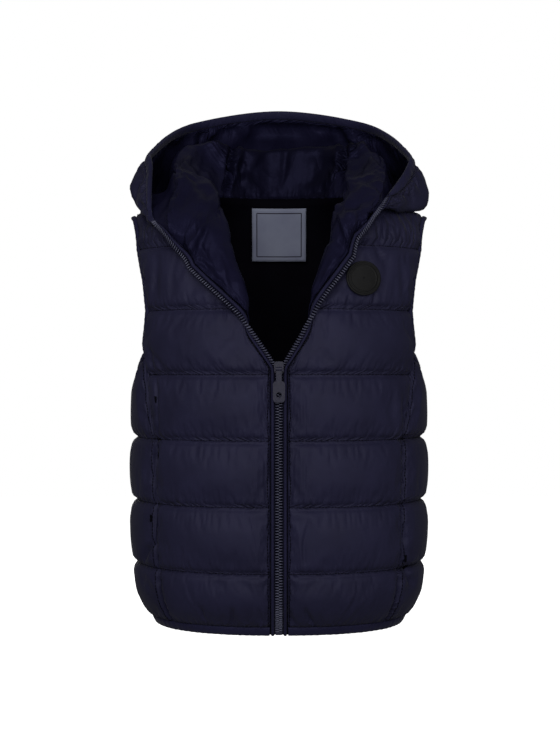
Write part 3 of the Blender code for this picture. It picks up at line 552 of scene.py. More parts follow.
def cloth(
    name, dark, light, roughness, weave, crinkle, sheen=0.0, gloss=0.3, tint="d4d4ee", crumple=0.0, pucker=0.0
):
    # Woven cloth: a fine weave, drawn coarse enough to show, and soft crinkles
    noises = ((0.03, 4, 0), (1.6, 0, weave), (0.09, 5, crinkle))
    return makeFinish(
        name, dark, light, noises, crumple, pucker, Roughness=roughness, Sheen_Weight=sheen,
        Sheen_Roughness=0.4, Specular_IOR_Level=gloss, Specular_Tint=linear(tint),
    )


def moulded(name, dark, light, roughness, grain, gloss):
    # Moulded plastic or rubber: an even colour that clouds a little, and a fine mould grain
    noises = ((0.15, 3, 0), (1.2, 3, grain))
    return makeFinish(name, dark, light, noises, Roughness=roughness, Specular_IOR_Level=gloss)


finishes = {
    # Light nylon, calendered to a soft sheen, over padding
    "shell": cloth(
        "navy_nylon_shell", "201f36", "25243d", roughness=0.6, weave=0.02, crinkle=0.3, sheen=0.03,
        gloss=0.25, pucker=2.0,
    ),
    # The same nylon on the facings and inside the hood, coloured darker than the shell as painted shade of
    # its creases, where it creases more and shines blue
    "facing": cloth(
        "navy_nylon_facing_painted_shade", "141327", "19182e", roughness=0.42, weave=0.02, crinkle=0.5, gloss=0.16,
        tint="9c9cdc", crumple=1.5, pucker=1.6,
    ),
    # The same nylon inside the hood, coloured far darker than the shell as painted shade of the hood's hollow
    "hoodLiningShade": cloth(
        "navy_nylon_lining_painted_shade", "0b0a19", "0f0e1f", roughness=0.42, weave=0.02, crinkle=0.6, gloss=0.16,
        tint="9494d4", crumple=2.0, pucker=1.2,
    ),
    # Elastic binding with a matt knit face
    "binding": cloth(
        "navy_elastic_binding", "1b1a35", "21203c", roughness=0.65, weave=0.05, crinkle=0.3, sheen=0.1,
        gloss=0.25, pucker=1.0,
    ),
    # Polyester taffeta with hardly any shine
    "lining": cloth(
        "black_polyester_lining", "020105", "040309", roughness=0.75, weave=0.02, crinkle=0.8, gloss=0.06
    ),
    # Woven satin label, white but coloured grey as painted shade, and its border
    "label": cloth("woven_label_painted_grey_shade", "72768a", "7f8496", roughness=0.6, weave=0.06, crinkle=0.1, sheen=0.1),
    "frame": cloth(
        "dark_woven_border", "1d1b26", "262430", roughness=0.7, weave=0.06, crinkle=0.1, sheen=0.1
    ),
    # Woven zip tape, coloured darker than its corded edge as painted shade in the grooves beside it
    "tape": cloth("navy_woven_tape_painted_shade", "0a0a16", "0e0d1b", roughness=0.8, weave=0.12, crinkle=0.1, gloss=0.05),
    # The corded edge of the tape, woven denser
    "rib": cloth(
        "navy_corded_tape", "1d1c35", "22213c", roughness=0.65, weave=0.12, crinkle=0.1, sheen=0.05, gloss=0.2
    ),
    # Navy spun polyester thread, coloured near black as painted shade of the furrow it lies in
    "thread": cloth("navy_thread_painted_shade", "07070d", "0c0b15", roughness=0.7, weave=0.1, crinkle=0.0, gloss=0.1),
    # Moulded rubber and acetal, dull from the mould
    "rubber": moulded("black_moulded_rubber", "0c0c0d", "101011", roughness=0.65, grain=0.06, gloss=0.25),
    # The teeth are grey, lighter than the navy cloth: partly their own colour and partly painted highlight
    # for their glints
    "teeth": moulded("grey_moulded_teeth_painted_glint", "46475c", "525368", roughness=0.4, grain=0.03, gloss=0.4),
    "plastic": moulded("navy_moulded_plastic", "1b1a30", "201f37", roughness=0.42, grain=0.04, gloss=0.35),
}
print("materials made")


# Meshes

def finishPiece(
    name, points, faces, finish, slot, uv=None, drawn=None, body="garment", nodes=(), second=None
):
    # Points in millimetres become an object that rides on a body and stands for its nodes
    mesh = bpy.data.meshes.new(name)
    mesh.from_pydata((points * mm).tolist(), [], faces.tolist())
    mesh.materials.append(finishes[finish])
    if second:
        for other in second[0]:
            mesh.materials.append(finishes[other])
        mesh.polygons.foreach_set("material_index", second[1].astype(np.int32))
    if uv is not None:
        layer = mesh.uv_layers.new(name="cloth")
        layer.data.foreach_set("uv", (uv[faces.ravel()] * mm).ravel())
    if drawn is not None:
        mesh.attributes.new("drawn", "FLOAT", "POINT").data.foreach_set("value", drawn.ravel())
    mesh.shade_smooth()
    mesh.validate()
    piece = bpy.data.objects.new(name, mesh)
    bpy.context.scene.collection.objects.link(piece)
    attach(piece, body)
    if nodes:
        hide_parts(*nodes)
    return piece


def gridFaces(rows, columns, keep=None, ring=False):
    # Four corners for each cell of a grid, whose rows may close into rings
    index = np.arange(rows * columns).reshape(rows, columns)
    if ring:
        index = np.concatenate([index, index[:, :1]], 1)
    corners = np.stack([index[:-1, :-1], index[:-1, 1:], index[1:, 1:], index[1:, :-1]], -1)
    return corners.reshape(-1, 4) if keep is None else corners[keep]


def shell(name, inner, outer, finish, slot, drawn=None, keep=None, lined=None, **options):
    # A closed skin: the outer grid, the inner one turned over, and a wall along every free edge.
    # The inner side has finishes of its own, each from one of its rows up
    rows, columns = inner.shape[:2]
    count = rows * columns
    top = gridFaces(rows, columns, keep)
    pairs = np.concatenate([top[:, [i, (i + 1) % 4]] for i in range(4)])
    forward, backward = pairs[:, 0] * count + pairs[:, 1], pairs[:, 1] * count + pairs[:, 0]
    free = pairs[~np.isin(forward, backward)]
    sides = np.stack([free[:, 1] + count, free[:, 0] + count, free[:, 0], free[:, 1]], -1)
    faces = np.concatenate([top + count, top[:, ::-1], sides])
    points = np.concatenate([inner.reshape(-1, 3), outer.reshape(-1, 3)])
    a, b, c = np.moveaxis(points[faces[:, :3]], 1, 0)
    if np.sum(np.cross(b - a, c - a) * a) < 0:
        faces = faces[:, ::-1]
    uv = np.stack([runs(outer, 1), runs(outer, 0)], -1).reshape(-1, 2)
    kind = np.zeros(len(faces), int)
    for number, row in enumerate((lined or {}).values(), 1):
        kind[len(top) : 2 * len(top)][top[:, 0] // columns >= row] = number
    used, faces = np.unique(faces, return_inverse=True)
    faces = faces.reshape(-1, 4)
    uv = np.concatenate([uv, uv])[used]
    drawn = None if drawn is None else np.concatenate([drawn.ravel(), drawn.ravel()])[used]
    second = (list(lined), kind) if lined else None
    return finishPiece(name, points[used], faces, finish, slot, uv, drawn, second=second, **options)


def band(name, near, far, normals, low, high, finish, slot, ring=False, ripple=0.0, wave=6.0, **options):
    # A rounded strip from near to far along a path: its section is a superellipse, in small ripples
    turns = np.linspace(0, 2 * np.pi, 16, endpoint=False)
    across = 0.5 + 0.5 * np.sign(np.cos(turns)) * np.abs(np.cos(turns)) ** 0.6
    lift = np.sign(np.sin(turns)) * np.abs(np.sin(turns)) ** 0.7
    run = lengths(near)
    waves = np.interp(run, *rippleCurve(run[-1], wave)) * ripple
    up = (low + high) / 2 + (high - low) / 2 * lift[None, :] + waves[:, None] * np.where(lift > 0, 1, 0.3)
    points = near[:, None] + across[None, :, None] * (far - near)[:, None] + up[..., None] * normals[:, None]
    rows = len(points)
    faces = gridFaces(rows, len(turns), ring=True)
    if ring:
        last = np.arange(len(turns)) + (rows - 1) * len(turns)
        first = np.arange(len(turns))
        faces = np.concatenate([faces, np.stack([last, np.roll(last, -1), np.roll(first, -1), first], -1)])
    uv = np.stack(np.broadcast_arrays(run[:, None], 20 * across[None]), -1).reshape(-1, 2)
    flat = points.reshape(-1, 3)
    if not ring:
        caps = [flat[: len(turns)].mean(0), flat[-len(turns) :].mean(0)]
        flat = np.concatenate([flat, caps])
        uv = np.concatenate([uv, uv[[0, -1]]])
        ends = []
        for start, centre, turned in ((0, len(flat) - 2, 1), ((rows - 1) * len(turns), len(flat) - 1, -1)):
            rim = start + np.arange(len(turns))
            ends.append(np.stack([rim, np.full(len(turns), centre), np.roll(rim, -1)], -1)[:, ::turned])
        triangles = np.concatenate(ends)
        faces = np.concatenate([faces, np.concatenate([triangles, triangles[:, :1]], 1)])
    a, b, c = np.moveaxis(flat[faces[:, :3]], 1, 0)
    if np.sum(np.cross(b - a, c - a) * a) < 0:
        faces = faces[:, ::-1]
    return finishPiece(name, flat, faces, finish, slot, uv, np.full(len(flat), 0.6), **options)


def many(name, template, faces, frames, finish, slot, **options):
    # One small shape repeated at frames: each has an origin and three axes
    origins, axes = frames
    points = origins[:, None] + np.einsum("kj,nji->nki", template, axes)
    shifted = faces[None] + (np.arange(len(origins)) * len(template))[:, None, None]
    points, shifted = points.reshape(-1, 3), shifted.reshape(-1, faces.shape[1])
    return finishPiece(name, points, shifted, finish, slot, **options)


def framesAlong(path, normals, pitch, start=0.0):
    # Frames every pitch along a path: along it, across it, and out of the cloth
    run = lengths(path)
    at = np.arange(start, run[-1], pitch)
    out = unit(carried(at, run, normals))
    along = unit(carried(at, run, np.gradient(path, run, axis=0)))
    across = unit(np.cross(out, along))
    return carried(at, run, path), np.stack([along, across, out], 1)


def capsule(length, width, height):
    # A stitch: six-sided rings along X, swelling in the middle
    turns = np.linspace(0, 2 * np.pi, 6, endpoint=False)
    x, size = np.array([(-0.5, 0.15), (-0.3, 0.85), (0.3, 0.85), (0.5, 0.15)]).T[..., None]
    axes = x * length, width / 2 * size * np.cos(turns), height / 2 * size * np.sin(turns)
    return np.stack(np.broadcast_arrays(*axes), -1).reshape(-1, 3), gridFaces(len(x), len(turns), ring=True)


# Padded panels: the shell side swells between its stitching

def drawnIn(distance, reach=20.0):
    # 1 on the stitching, fading away from it
    return np.exp(-((distance / reach * 1.6) ** 2))


drawnReach = {"line": 16.0, "edge": 14.0, "edgeShare": 0.7}
clothSettings = {
    "quality": 6, "mass": 0.15, "tension_stiffness": 12, "compression_stiffness": 12, "shear_stiffness": 4,
    "air_damping": 4, "vertex_group_mass": "held", "use_pressure": True,
}
softness = {
    "panel": {"pressure": 1.2, "slack": 0.02, "bending": 0.1, "cap": 3.0, "give": 1.0},
    "hood": {"pressure": 0.3, "slack": 0.04, "bending": 0.05, "cap": 3.5, "give": 2.0},
    "facing": {"pressure": 0.6, "slack": 0.05, "bending": 0.05, "cap": 3.0, "give": 0.0},
}


def drawnAbove(height, toEdge):
    # The padding draws in above each quilt line, and less along the other edges
    above = np.where(height >= quiltLines, height - quiltLines, np.inf).min(-1, keepdims=True)
    return np.maximum(
        drawnIn(above, drawnReach["line"]), drawnReach["edgeShare"] * drawnIn(toEdge, drawnReach["edge"])
    )


def settle(pieces, frames=24):
    # Cloth a little larger than its pattern, held at its stitching and pressed out by the padding
    scene = bpy.context.scene
    scene.frame_start, scene.frame_end = 1, frames
    made = {}
    for name, piece in pieces.items():
        start = piece["start"]
        rows, columns = start.shape[:2]
        faces = gridFaces(rows, columns, piece.get("keep"))
        a, b, c = np.moveaxis(start.reshape(-1, 3)[faces[:, :3]], 1, 0)
        out = piece["out"].reshape(-1, 3)[faces[:, 0]]
        if np.sum(np.cross(b - a, c - a) * out) < 0:
            faces = faces[:, ::-1]
        mesh = bpy.data.meshes.new(f"cloth_{name}")
        mesh.from_pydata((start.reshape(-1, 3) * mm).tolist(), [], faces.tolist())
        cloth = bpy.data.objects.new(f"cloth_{name}", mesh)
        scene.collection.objects.link(cloth)
        held = cloth.vertex_groups.new(name="held")
        held.add(np.flatnonzero(piece["held"].ravel()).tolist(), 1.0, "REPLACE")
        change = cloth.modifiers.new("cloth", "CLOTH")
        settings = {
            **clothSettings, "bending_stiffness": piece["bending"], "shrink_min": -piece["slack"],
            "uniform_pressure_force": piece["pressure"],
        }
        for key, value in settings.items():
            setattr(change.settings, key, value)
        change.settings.effector_weights.gravity = 0
        change.collision_settings.use_collision = False
        change.collision_settings.use_self_collision = False
        change.point_cache.frame_start, change.point_cache.frame_end = 1, frames
        made[name] = cloth
    for number in range(1, frames + 1):
        scene.frame_set(number)
    graph = bpy.context.evaluated_depsgraph_get()
    for name, cloth in made.items():
        moved = np.empty(len(cloth.data.vertices) * 3)
        cloth.evaluated_get(graph).data.vertices.foreach_get("co", moved)
        start = pieces[name]["start"]
        step = moved.reshape(start.shape) / mm - start
        inward = np.minimum(np.sum(step * pieces[name]["out"], -1, keepdims=True) + pieces[name]["give"], 0)
        step = step - inward * pieces[name]["out"]
        far = np.linalg.norm(step, axis=-1, keepdims=True)
        pieces[name]["step"] = step * np.minimum(1, pieces[name]["cap"] / np.maximum(far, 1e-9))
        bpy.data.objects.remove(cloth)
    scene.frame_set(1)


def edgeWall(distance):
    # The wall rounds up from its edge to its full thickness
    return seam["edge"] + (seam["wall"] - seam["edge"]) * edgeRise(distance, seam["rounding"])


def beside(rows):
    # The marked rows and their neighbours
    return rows | np.append(rows[1:], False) | np.append(False, rows[:-1])


isLine = np.zeros(len(channelHeights()), bool)
isLine[:: cells["channel"]] = True
padded = {}
for hand in hands:
    rows, columns = slice(cells["below"], None), slice(hookEnd + 1)
    sheet, out = sheets[hand][rows, columns], normals[hand][rows, columns]
    run, up = runs(sheet, 1), runs(sheet, 0)
    toEdge = np.minimum(run, run[:, -1:] - run)
    lineRow = np.append(isLine, np.zeros(cells["top"], bool))
    toLine = np.abs(heights[hand][rows, None] - quiltLines).min(1)[:, None]
    toLine = np.where(heights[hand][rows, None] > quiltTop, up[-1] - up, toLine)
    wall = edgeWall(np.minimum(toEdge, toLine + 2)) + fullness[hand][rows]
    wall = np.where((toLine < 0.1) & (up > 0), seam["skin"], wall)
    wall[heights[hand][rows] < armholeFloor["height"][0], 0] = seam["skin"]
    held = np.zeros(sheet.shape[:2], bool)
    held[beside(lineRow)] = True
    held[[0, -1]] = True
    held[:, [0, -1]] = True
    held |= thin[hand][rows] > 0.35
    padded[hand] = {
        "start": sheet + out * wall[..., None], "out": out, "held": held, "toEdge": toEdge,
        "drawn": drawnAbove(heights[hand][rows, None], toEdge), **softness["panel"],
    }

sheet, out = sheets["back"], normals["back"]
floorRow = cells["channel"] * floorLine
rowCount, columnCount = sheet.shape[:2]
row, column = np.mgrid[: rowCount - 1, : columnCount - 1]
backCells = (row < floorRow) | ((column >= cells["side"]) & (column < columnCount - 1 - cells["side"]))
run = runs(sheet, 1)
run[floorRow + 1 :] -= run[floorRow + 1 :, cells["side"], None]
end = np.where(np.arange(rowCount) > floorRow, run[:, -1 - cells["side"]], run[:, -1])[:, None]
toEdge = np.maximum(np.minimum(run, end - run), 0)
backHeights = channelHeights()
toLine = np.append(np.abs(backHeights[:, None] - quiltLines).min(1), (1 - topShares) * 30)[:, None]
wall = edgeWall(np.minimum(toEdge, toLine + 2))
sewn = np.where(np.arange(rowCount) < floorRow, seam["sideFull"], 0)[:, None]
wall = wall + backCrowns[:, None] * (sewn + (1 - sewn) * edgeRise(toEdge, seam["sideRise"]))
wall[cells["channel"] : floorLine * cells["channel"] + 1 : cells["channel"]] = seam["skin"]
wall[:floorRow, [0, -1]] = seam["skin"]
held = np.zeros(sheet.shape[:2], bool)
held[: len(isLine)][beside(isLine)] = True
held[-1] = True
held |= toEdge < 0.5
backHeights = np.append(backHeights, quiltTop + topShares)[:, None]
padded["back"] = {
    "start": sheet + out * wall[..., None], "out": out, "held": held, "toEdge": toEdge, "keep": backCells,
    "drawn": drawnAbove(backHeights, toEdge), **softness["panel"],
}

hoodRows = slice(0, -1)
hoodColumns = slice(cells["tape"], -cells["tape"])
sheet, out = sheets["hood"][hoodRows, hoodColumns], normals["hood"][hoodRows, hoodColumns]
middle = sheet.shape[1] // 2
seams = [0, middle - cells["hoodCentre"], middle + cells["hoodCentre"], sheet.shape[1] - 1]
run = runs(sheet, 1)
toEdge = np.min([np.abs(run - run[:, [at]]) for at in seams], 0)
toEnd = np.minimum(runs(sheet, 0), runs(sheet, 0)[-1:] - runs(sheet, 0))
wall = edgeWall(np.minimum(toEdge, toEnd))
fill = puff["hood"] * np.interp(np.linspace(0, 1, len(sheet)), hoodFill["share"], hoodFill["puff"])
wall = wall + fill[:, None] * edgeRise(toEdge)
held = np.zeros(sheet.shape[:2], bool)
held[[0, -1]] = True
held[:, seams] = True
padded["hood"] = {
    "start": sheet + out * wall[..., None], "out": out, "held": held, "toEdge": toEdge,
    "drawn": drawnIn(np.minimum(toEdge, toEnd), 26), **softness["hood"],
}

strips = {}
facingCloth = {"under": 1.8, "thick": 0.6, "length": 0.45, "ease": 1.1, "lowest": -1.4}
for hand, side in hands.items():
    width = len(sheets[hand][0]) - cells["shoulder"]
    strips[hand] = [
        np.concatenate([grids[hand][:, cells["shoulder"] :], grids["hood"][1:-1, ::side][:, -width:]])
        for grids in (sheets, normals)
    ]
    hook = hookEnd - cells["shoulder"]
    rows = slice(cells["below"], len(sheets[hand]) + sum(cells["hood"][:3]))
    columns = slice(hook - cells["facing"], hook + 1)
    sheet, out = strips[hand][0][rows, columns], strips[hand][1][rows, columns]
    held = np.zeros(sheet.shape[:2], bool)
    held[[0, -1]] = True
    held[:, [0, -1]] = True
    run = runs(sheet, 1)
    padded[f"facing_{hand}"] = {
        "start": sheet - facingCloth["under"] * out, "out": -out, "held": held,
        "drawn": drawnIn(np.minimum(run, run[:, -1:] - run), drawnReach["edge"]), **softness["facing"],
    }

settle(padded)
print("padding settled")

# Folds that show in the photograph, seen from the front, and like ones on the back
frontFolds = table(
    "x z lean length width rise",
    (-121.5, -141, -10, 28, 2.2, -2.6), (-115, -139, -42, 26, 2.0, -2.0), (-118, -65, 30, 11, 1.6, -1.4),
    (-86.5, -84, 3, 12, 1.5, -1.4), (-60, -86, 5, 13, 1.7, -1.6), (-50, -96, 0, 11, 2.0, -1.6),
    (-128, -324, 20, 16, 2.6, -4.0), (-121.5, -314.5, 50, 15, 2.6, -3.4), (-71, -374, -10, 13, 1.7, -1.9),
    (-43.5, -376.5, 5, 18, 1.9, -2.2), (-17.5, -375, -15, 15, 1.9, -1.6), (28, -376.5, -28, 20, 2.1, -2.8),
    (12.5, -379, -40, 14, 1.9, -1.9), (61.5, -369, 33, 34, 1.6, 0.8), (64.5, -367, 33, 32, 1.6, -0.8),
    (74, -366, 40, 30, 1.6, 0.7), (124.5, -344, -17, 23, 2.3, -3.2), (119, -304, -5, 46, 1.7, -2.0),
    (96, -40, -33, 20, 2.1, -2.6), (97, -20, -20, 17, 2.1, -2.6), (122, -42, -15, 11, 1.6, -1.4),
    (64, -85.5, 5, 14, 1.7, -1.9), (77, -88, 0, 10, 1.5, -1.4), (89.5, -80, 10, 15, 1.8, -2.1),
    (47, -95, 0, 11, 1.6, -1.3), (68.5, -99, -5, 12, 1.6, -1.3), (101.5, -145, 55, 14, 1.7, -1.7),
    (115, -143.5, 65, 16, 1.7, -1.9), (-115.6, -166, -5, 26, 1.4, -2.2), (-114.2, -191, -2, 30, 1.3, -2.0),
    (-116, -233, 9, 46, 1.9, -3.0), (-117, -262, 4, 24, 1.5, -2.0), (118, -297, -4, 44, 1.5, -2.4),
    (121.3, -340, -20, 24, 1.7, -3.0), (118.5, -195, -3, 46, 1.4, -2.2), (118.5, -250, 3, 40, 1.4, -2.2),
)
backFolds = table(
    "x z lean length width rise",
    (-96, -62, 18, 26, 2.4, -2.4), (92, -54, -22, 24, 2.2, -2.2), (-108, -140, -25, 24, 2.2, -2.2),
    (110, -146, 30, 26, 2.2, -2.4), (-30, -222, 12, 14, 1.8, -1.6), (48, -206, -14, 15, 1.8, -1.6),
    (84, -268, 20, 18, 2.0, -1.8), (-74, -330, -18, 18, 2.0, -2.0), (22, -372, 16, 20, 2.0, -2.2),
    (-52, -374, -22, 20, 2.0, -2.4), (96, -362, 28, 22, 2.0, -2.2),
)


# Each has a wave, a reach and a depth
quiltGathers = {"above": (4.6, 8.0, 1.1), "below": (5.5, 4.0, 0.2), "edge": (6.0, 8.0, 0.9)}
facingGathers = {"neck": (9.0, 12.0, 0.9), "roll": (9.0, 14.0, 0.8), "zip": (7.0, 12.0, 0.9)}
hoodGathers = {"neck": (7.0, 14.0, 0.5), "rim": (6.5, 12.0, 2.0), "seams": (9.0, 10.0, 0.6)}


def quilted(piece, times):
    # The settled shell side on a finer grid, with folds along its stitching and the listed ones
    outer, out = finer(piece["start"] + piece["step"], times), unit(finer(piece["out"], times))
    toEdge = np.maximum(finer(piece["toEdge"], times), 0)
    run, up = runs(outer, 1), runs(outer, 0)
    rise = np.zeros(run.shape)
    edges = [*range(0, len(isLine), cells["channel"]), len(outer) - 1]
    for low, high in zip(edges, edges[1:]):
        part = slice(low, high + 1)
        rise[part] = gathers(run[part], up[part] - up[low], *quiltGathers["above"])
        rise[part] += gathers(run[part], up[high] - up[part], *quiltGathers["below"])
    rise *= 0.75 + 0.6 * drawnIn(toEdge, 60)
    rise = (rise + gathers(up, toEdge, *quiltGathers["edge"])) * ease(toEdge / 3)
    isFront = outer[..., 1] < 0
    rise += isFront * creases(outer[..., 0], outer[..., 2], frontFolds)
    rise += ~isFront * creases(outer[..., 0], outer[..., 2], backFolds)
    piece["outer"], piece["fineOut"] = outer + rise[..., None] * out, out


facingFolds = table(
    "x z lean length width rise",
    (-71.7, -29, 19, 28, 2.4, -1.6), (-70, -50, -62, 24, 2.2, -1.5), (-63.5, -52, -43, 22, 2.2, 2.2),
    (-52.7, -64.5, 69, 16, 2.2, -1.5), (-50.5, -57.5, -12, 22, 2.2, 1.8), (-41, -84, -31, 26, 2.4, -1.5),
    (-38, -100, -25, 18, 2.0, 1.3), (41, -55, 33, 26, 2.4, -1.5), (53, -45.5, 72, 15, 2.2, 1.8),
    (31, -79, 26, 26, 2.2, -1.5), (47, -33, 50, 18, 2.2, 1.8), (26, -104, 20, 18, 2.0, 1.3),
)


flap = {"edges": (((-80, -40), (-67, -12)), ((63, -34), (56, -6))), "step": 5.0, "soft": 1.0, "reach": 1.2}


def flapStep(across, up):
    # The front of the hood overlaps the facing: a step down past a slanting edge, for a short way along it
    height = np.zeros(across.shape)
    for low, high in flap["edges"]:
        low, high = np.array(low, float), np.array(high, float)
        ahead = (high - low) / np.linalg.norm(high - low)
        along = (across - low[0]) * ahead[0] + (up - low[1]) * ahead[1]
        inside = np.sign(-low[0]) * ((across - low[0]) * ahead[1] - (up - low[1]) * ahead[0])
        middle = np.linalg.norm(high - low) / 2
        fade = np.exp(-(((along - middle) / middle / flap["reach"]) ** 4))
        height += flap["step"] * (0.5 - 0.5 * np.tanh(inside / flap["soft"])) * fade
    return height


# The hood's folds as they show from the front, on a plane through the neck: first from the neck seam over
# the crest, then inside the back of the hood, up to the rim
crestFolds = table(
    "x z lean length width rise",
    (-49.5, 57, 9, 54, 2.4, 12.0), (-55.5, 57, 9, 46, 2.0, -3.0), (-43.5, 57, 9, 46, 2.0, -3.0),
    (-36.5, 54.5, 8, 36, 2.2, 5.0), (-90, 61, 32, 42, 2.2, -4.0), (-64, 78.5, 81, 32, 1.8, -2.5),
    (64, 51, 4, 62, 2.6, 12.0), (58, 51, 4, 54, 2.0, -2.5), (70, 51, 4, 54, 2.2, -4.0),
    (92, 62, -30, 44, 2.2, -4.0), (-12, 54, -6, 34, 5.0, 2.0), (4, 55, 4, 34, 2.6, 3.0),
    (32, 52, 8, 34, 5.0, 2.5), (78, 60, -12, 34, 2.4, 2.5), (-72, 62, 14, 30, 2.4, 3.0),
)
backFoldsInside = table(
    "x z lean length width rise",
    (69, 90, -35, 36, 5.0, -7.0), (60, 86, -30, 28, 3.0, 6.0), (85, 92, -45, 28, 3.5, 7.0),
    (104, 74, -28, 30, 4.0, 5.0), (-91.5, 71, 25, 34, 3.0, -5.0), (-109, 69.5, 22, 30, 4.0, 6.0),
    (-36, 95, -30, 26, 3.0, -6.0), (-47, 96, -26, 26, 3.0, 6.0), (-66, 92, 24, 28, 3.5, -6.0),
    (-76, 88, 26, 28, 3.0, 5.0), (11, 92, 88, 80, 3.5, 6.0), (-24, 102, 5, 14, 2.0, -3.0),
    (-15, 101, -6, 13, 2.0, 3.0), (-6, 102, 4, 14, 2.0, -3.0), (4, 101, -4, 13, 2.0, 3.0),
    (13, 102, 6, 14, 2.0, -3.0), (22, 101, -5, 13, 2.0, 3.0), (31, 102, 3, 14, 2.0, -3.0),
    (44, 98, -12, 20, 2.4, 4.0),
)
piece = padded["hood"]
inner = sheets["hood"][hoodRows, hoodColumns]
spread = eye["away"] / (eye["away"] + inner[..., 1])
seenX, seenZ = inner[..., 0] * spread, eye["height"] + (inner[..., 2] - eye["height"]) * spread
rowNumber = np.arange(len(inner), dtype=float)[:, None]
run, up = runs(piece["start"], 1), runs(piece["start"], 0)
toTape = np.minimum(run, run[:, -1:] - run)
rise = gathers(run, up, *hoodGathers["neck"]) + gathers(run, up[-1:] - up, *hoodGathers["rim"])
rise = (rise + gathers(up, piece["toEdge"], *hoodGathers["seams"])) * ease(piece["toEdge"] / 8)
folds = creases(seenX, seenZ, crestFolds) * ease((sum(cells["hood"][:3]) - rowNumber) / 4)
folds += creases(seenX, seenZ, backFoldsInside) * ease((rowNumber - sum(cells["hood"][:4]) - 4) / 4)
folds += facets(inner, size=17.0, depth=3.5)
rise += folds * ease(np.minimum(up, up[-1:] - up) / 9) * ease(toTape / 8)
piece["step"] = piece["step"] + rise[..., None] * piece["out"]
hoodStep = np.zeros_like(sheets["hood"])
hoodStep[hoodRows, hoodColumns] = piece["step"]


times = cells["fine"]
for hand, side in hands.items():
    piece = padded[hand]
    quilted(piece, times)
    sheet = finer(sheets[hand][cells["below"] :, : hookEnd + 1], times)
    drawn = finer(piece["drawn"], times)
    front = shell(
        f"front_{hand}_panel", sheet, piece["outer"], "shell", "navy_shell", drawn, lined={"lining": 0},
        nodes=[f"front_{hand}"],
    )
    piece = padded[f"facing_{hand}"]
    outer, out = finer(piece["start"] + piece["step"], times), unit(finer(piece["out"], times))
    onHood = len(outer) - (len(sheets[hand]) - cells["below"])
    run, up = runs(outer, 1), runs(outer, 0)
    fromNeck = np.abs(up - up[-onHood - 1])
    rise = gathers(run, fromNeck, *facingGathers["neck"]) - 1.3 * np.exp(-((fromNeck / 2.2) ** 2))
    rise += gathers(up, run, *facingGathers["roll"]) + gathers(up, run[:, -1:] - run, *facingGathers["zip"])
    rise += creases(outer[..., 0], outer[..., 2], facingFolds)
    rise += flapStep(outer[..., 0], outer[..., 2]) + facets(outer, size=13.0, depth=2.6)
    rise = np.maximum(rise, facingCloth["lowest"]) * ease(np.minimum(run, run[:, -1:] - run) / 3)
    outer = outer + rise[..., None] * out
    width = piece["start"].shape[1] + cells["tape"]
    outer[-onHood:] += finer(hoodStep[1 : onHood + 1, ::side][:, -width : -cells["tape"]], times)
    facing = shell(
        f"facing_{hand}_cloth", outer - facingCloth["thick"] * out, outer, "facing", "navy_shell",
        finer(piece["drawn"], times), nodes=[f"facing_{hand}"],
    )

piece = padded["back"]
backTimes = 2
quilted(piece, backTimes)
back = shell(
    "back_panel", finer(sheets["back"], backTimes), piece["outer"], "shell", "navy_shell",
    finer(piece["drawn"], backTimes), keep=np.repeat(backCells, backTimes, 1), lined={"lining": 0},
    nodes=["back"],
)

piece = padded["hood"]
hoodTimes = 2
inside = finer(sheets["hood"][hoodRows, hoodColumns] + piece["step"], hoodTimes)
outer, drawn = finer(piece["start"] + piece["step"], hoodTimes), finer(piece["drawn"], hoodTimes)
splits = {"side_right": seams[:2], "centre": seams[1:3], "side_left": seams[2:]}
for name, (first, last) in splits.items():
    part = (slice(None), slice(hoodTimes * first, hoodTimes * last + 1))
    # Inside, the hood's centre has the darkest copy of the nylon on its stand and the facing copy further
    # back, and its sides have the facing copy: darker and lighter copies of one nylon as painted shade
    hoodPiece = shell(
        f"hood_{name}_panel", inside[part], outer[part], "shell", "navy_shell", drawn[part],
        lined={"hoodLiningShade": 0, "facing": sum(cells["hood"][:4])} if name == "centre" else {"facing": 0},
        nodes=[f"hood_{name}"],
    )
print("panels built")


# Lining and label

liningCloth = {"inside": 1.6, "thick": 0.6, "clear": 0.8}
lining = sheets["back"] - liningCloth["inside"] * normals["back"]
liningPiece = shell(
    "lining_back_cloth", lining[::2] - liningCloth["thick"] * normals["back"][::2], lining[::2], "lining",
    "black_lining", keep=backCells[::2], nodes=["lining_back"],
)

label = {
    "width": 57.0, "height": 55.0, "z": -5.0, "thick": 0.8, "gap": 0.3, "seat": 0.7, "inset": 5.0,
    "border": 1.0,
}


def fittedPatch(points, x, z):
    # Y on the quadratic surface that best fits the points, moved to lie on the foremost of them
    def terms(x, z):
        return np.stack([np.ones_like(x), x, z, x * x, x * z, z * z], -1)
    factors = np.linalg.lstsq(terms(points[:, 0], points[:, 2]), points[:, 1], rcond=None)[0]
    return terms(x, z) @ factors + (points[:, 1] - terms(points[:, 0], points[:, 2]) @ factors).min()


def nearLabel(points):
    # The points behind the label and a little round it
    points = points.reshape(-1, 3)
    near = np.abs(points[:, 0]) < label["seat"] * label["width"]
    near &= np.abs(points[:, 2] - label["z"]) < label["seat"] * label["height"]
    return points[near & (points[:, 1] > 0)]


def patch(x, z, lift):
    # Points on the lining's fitted surface, lifted forward off it
    y = fittedPatch(nearLabel(lining - liningCloth["clear"] * normals["back"]), x, z) - lift
    return np.stack([x, y, z], -1)


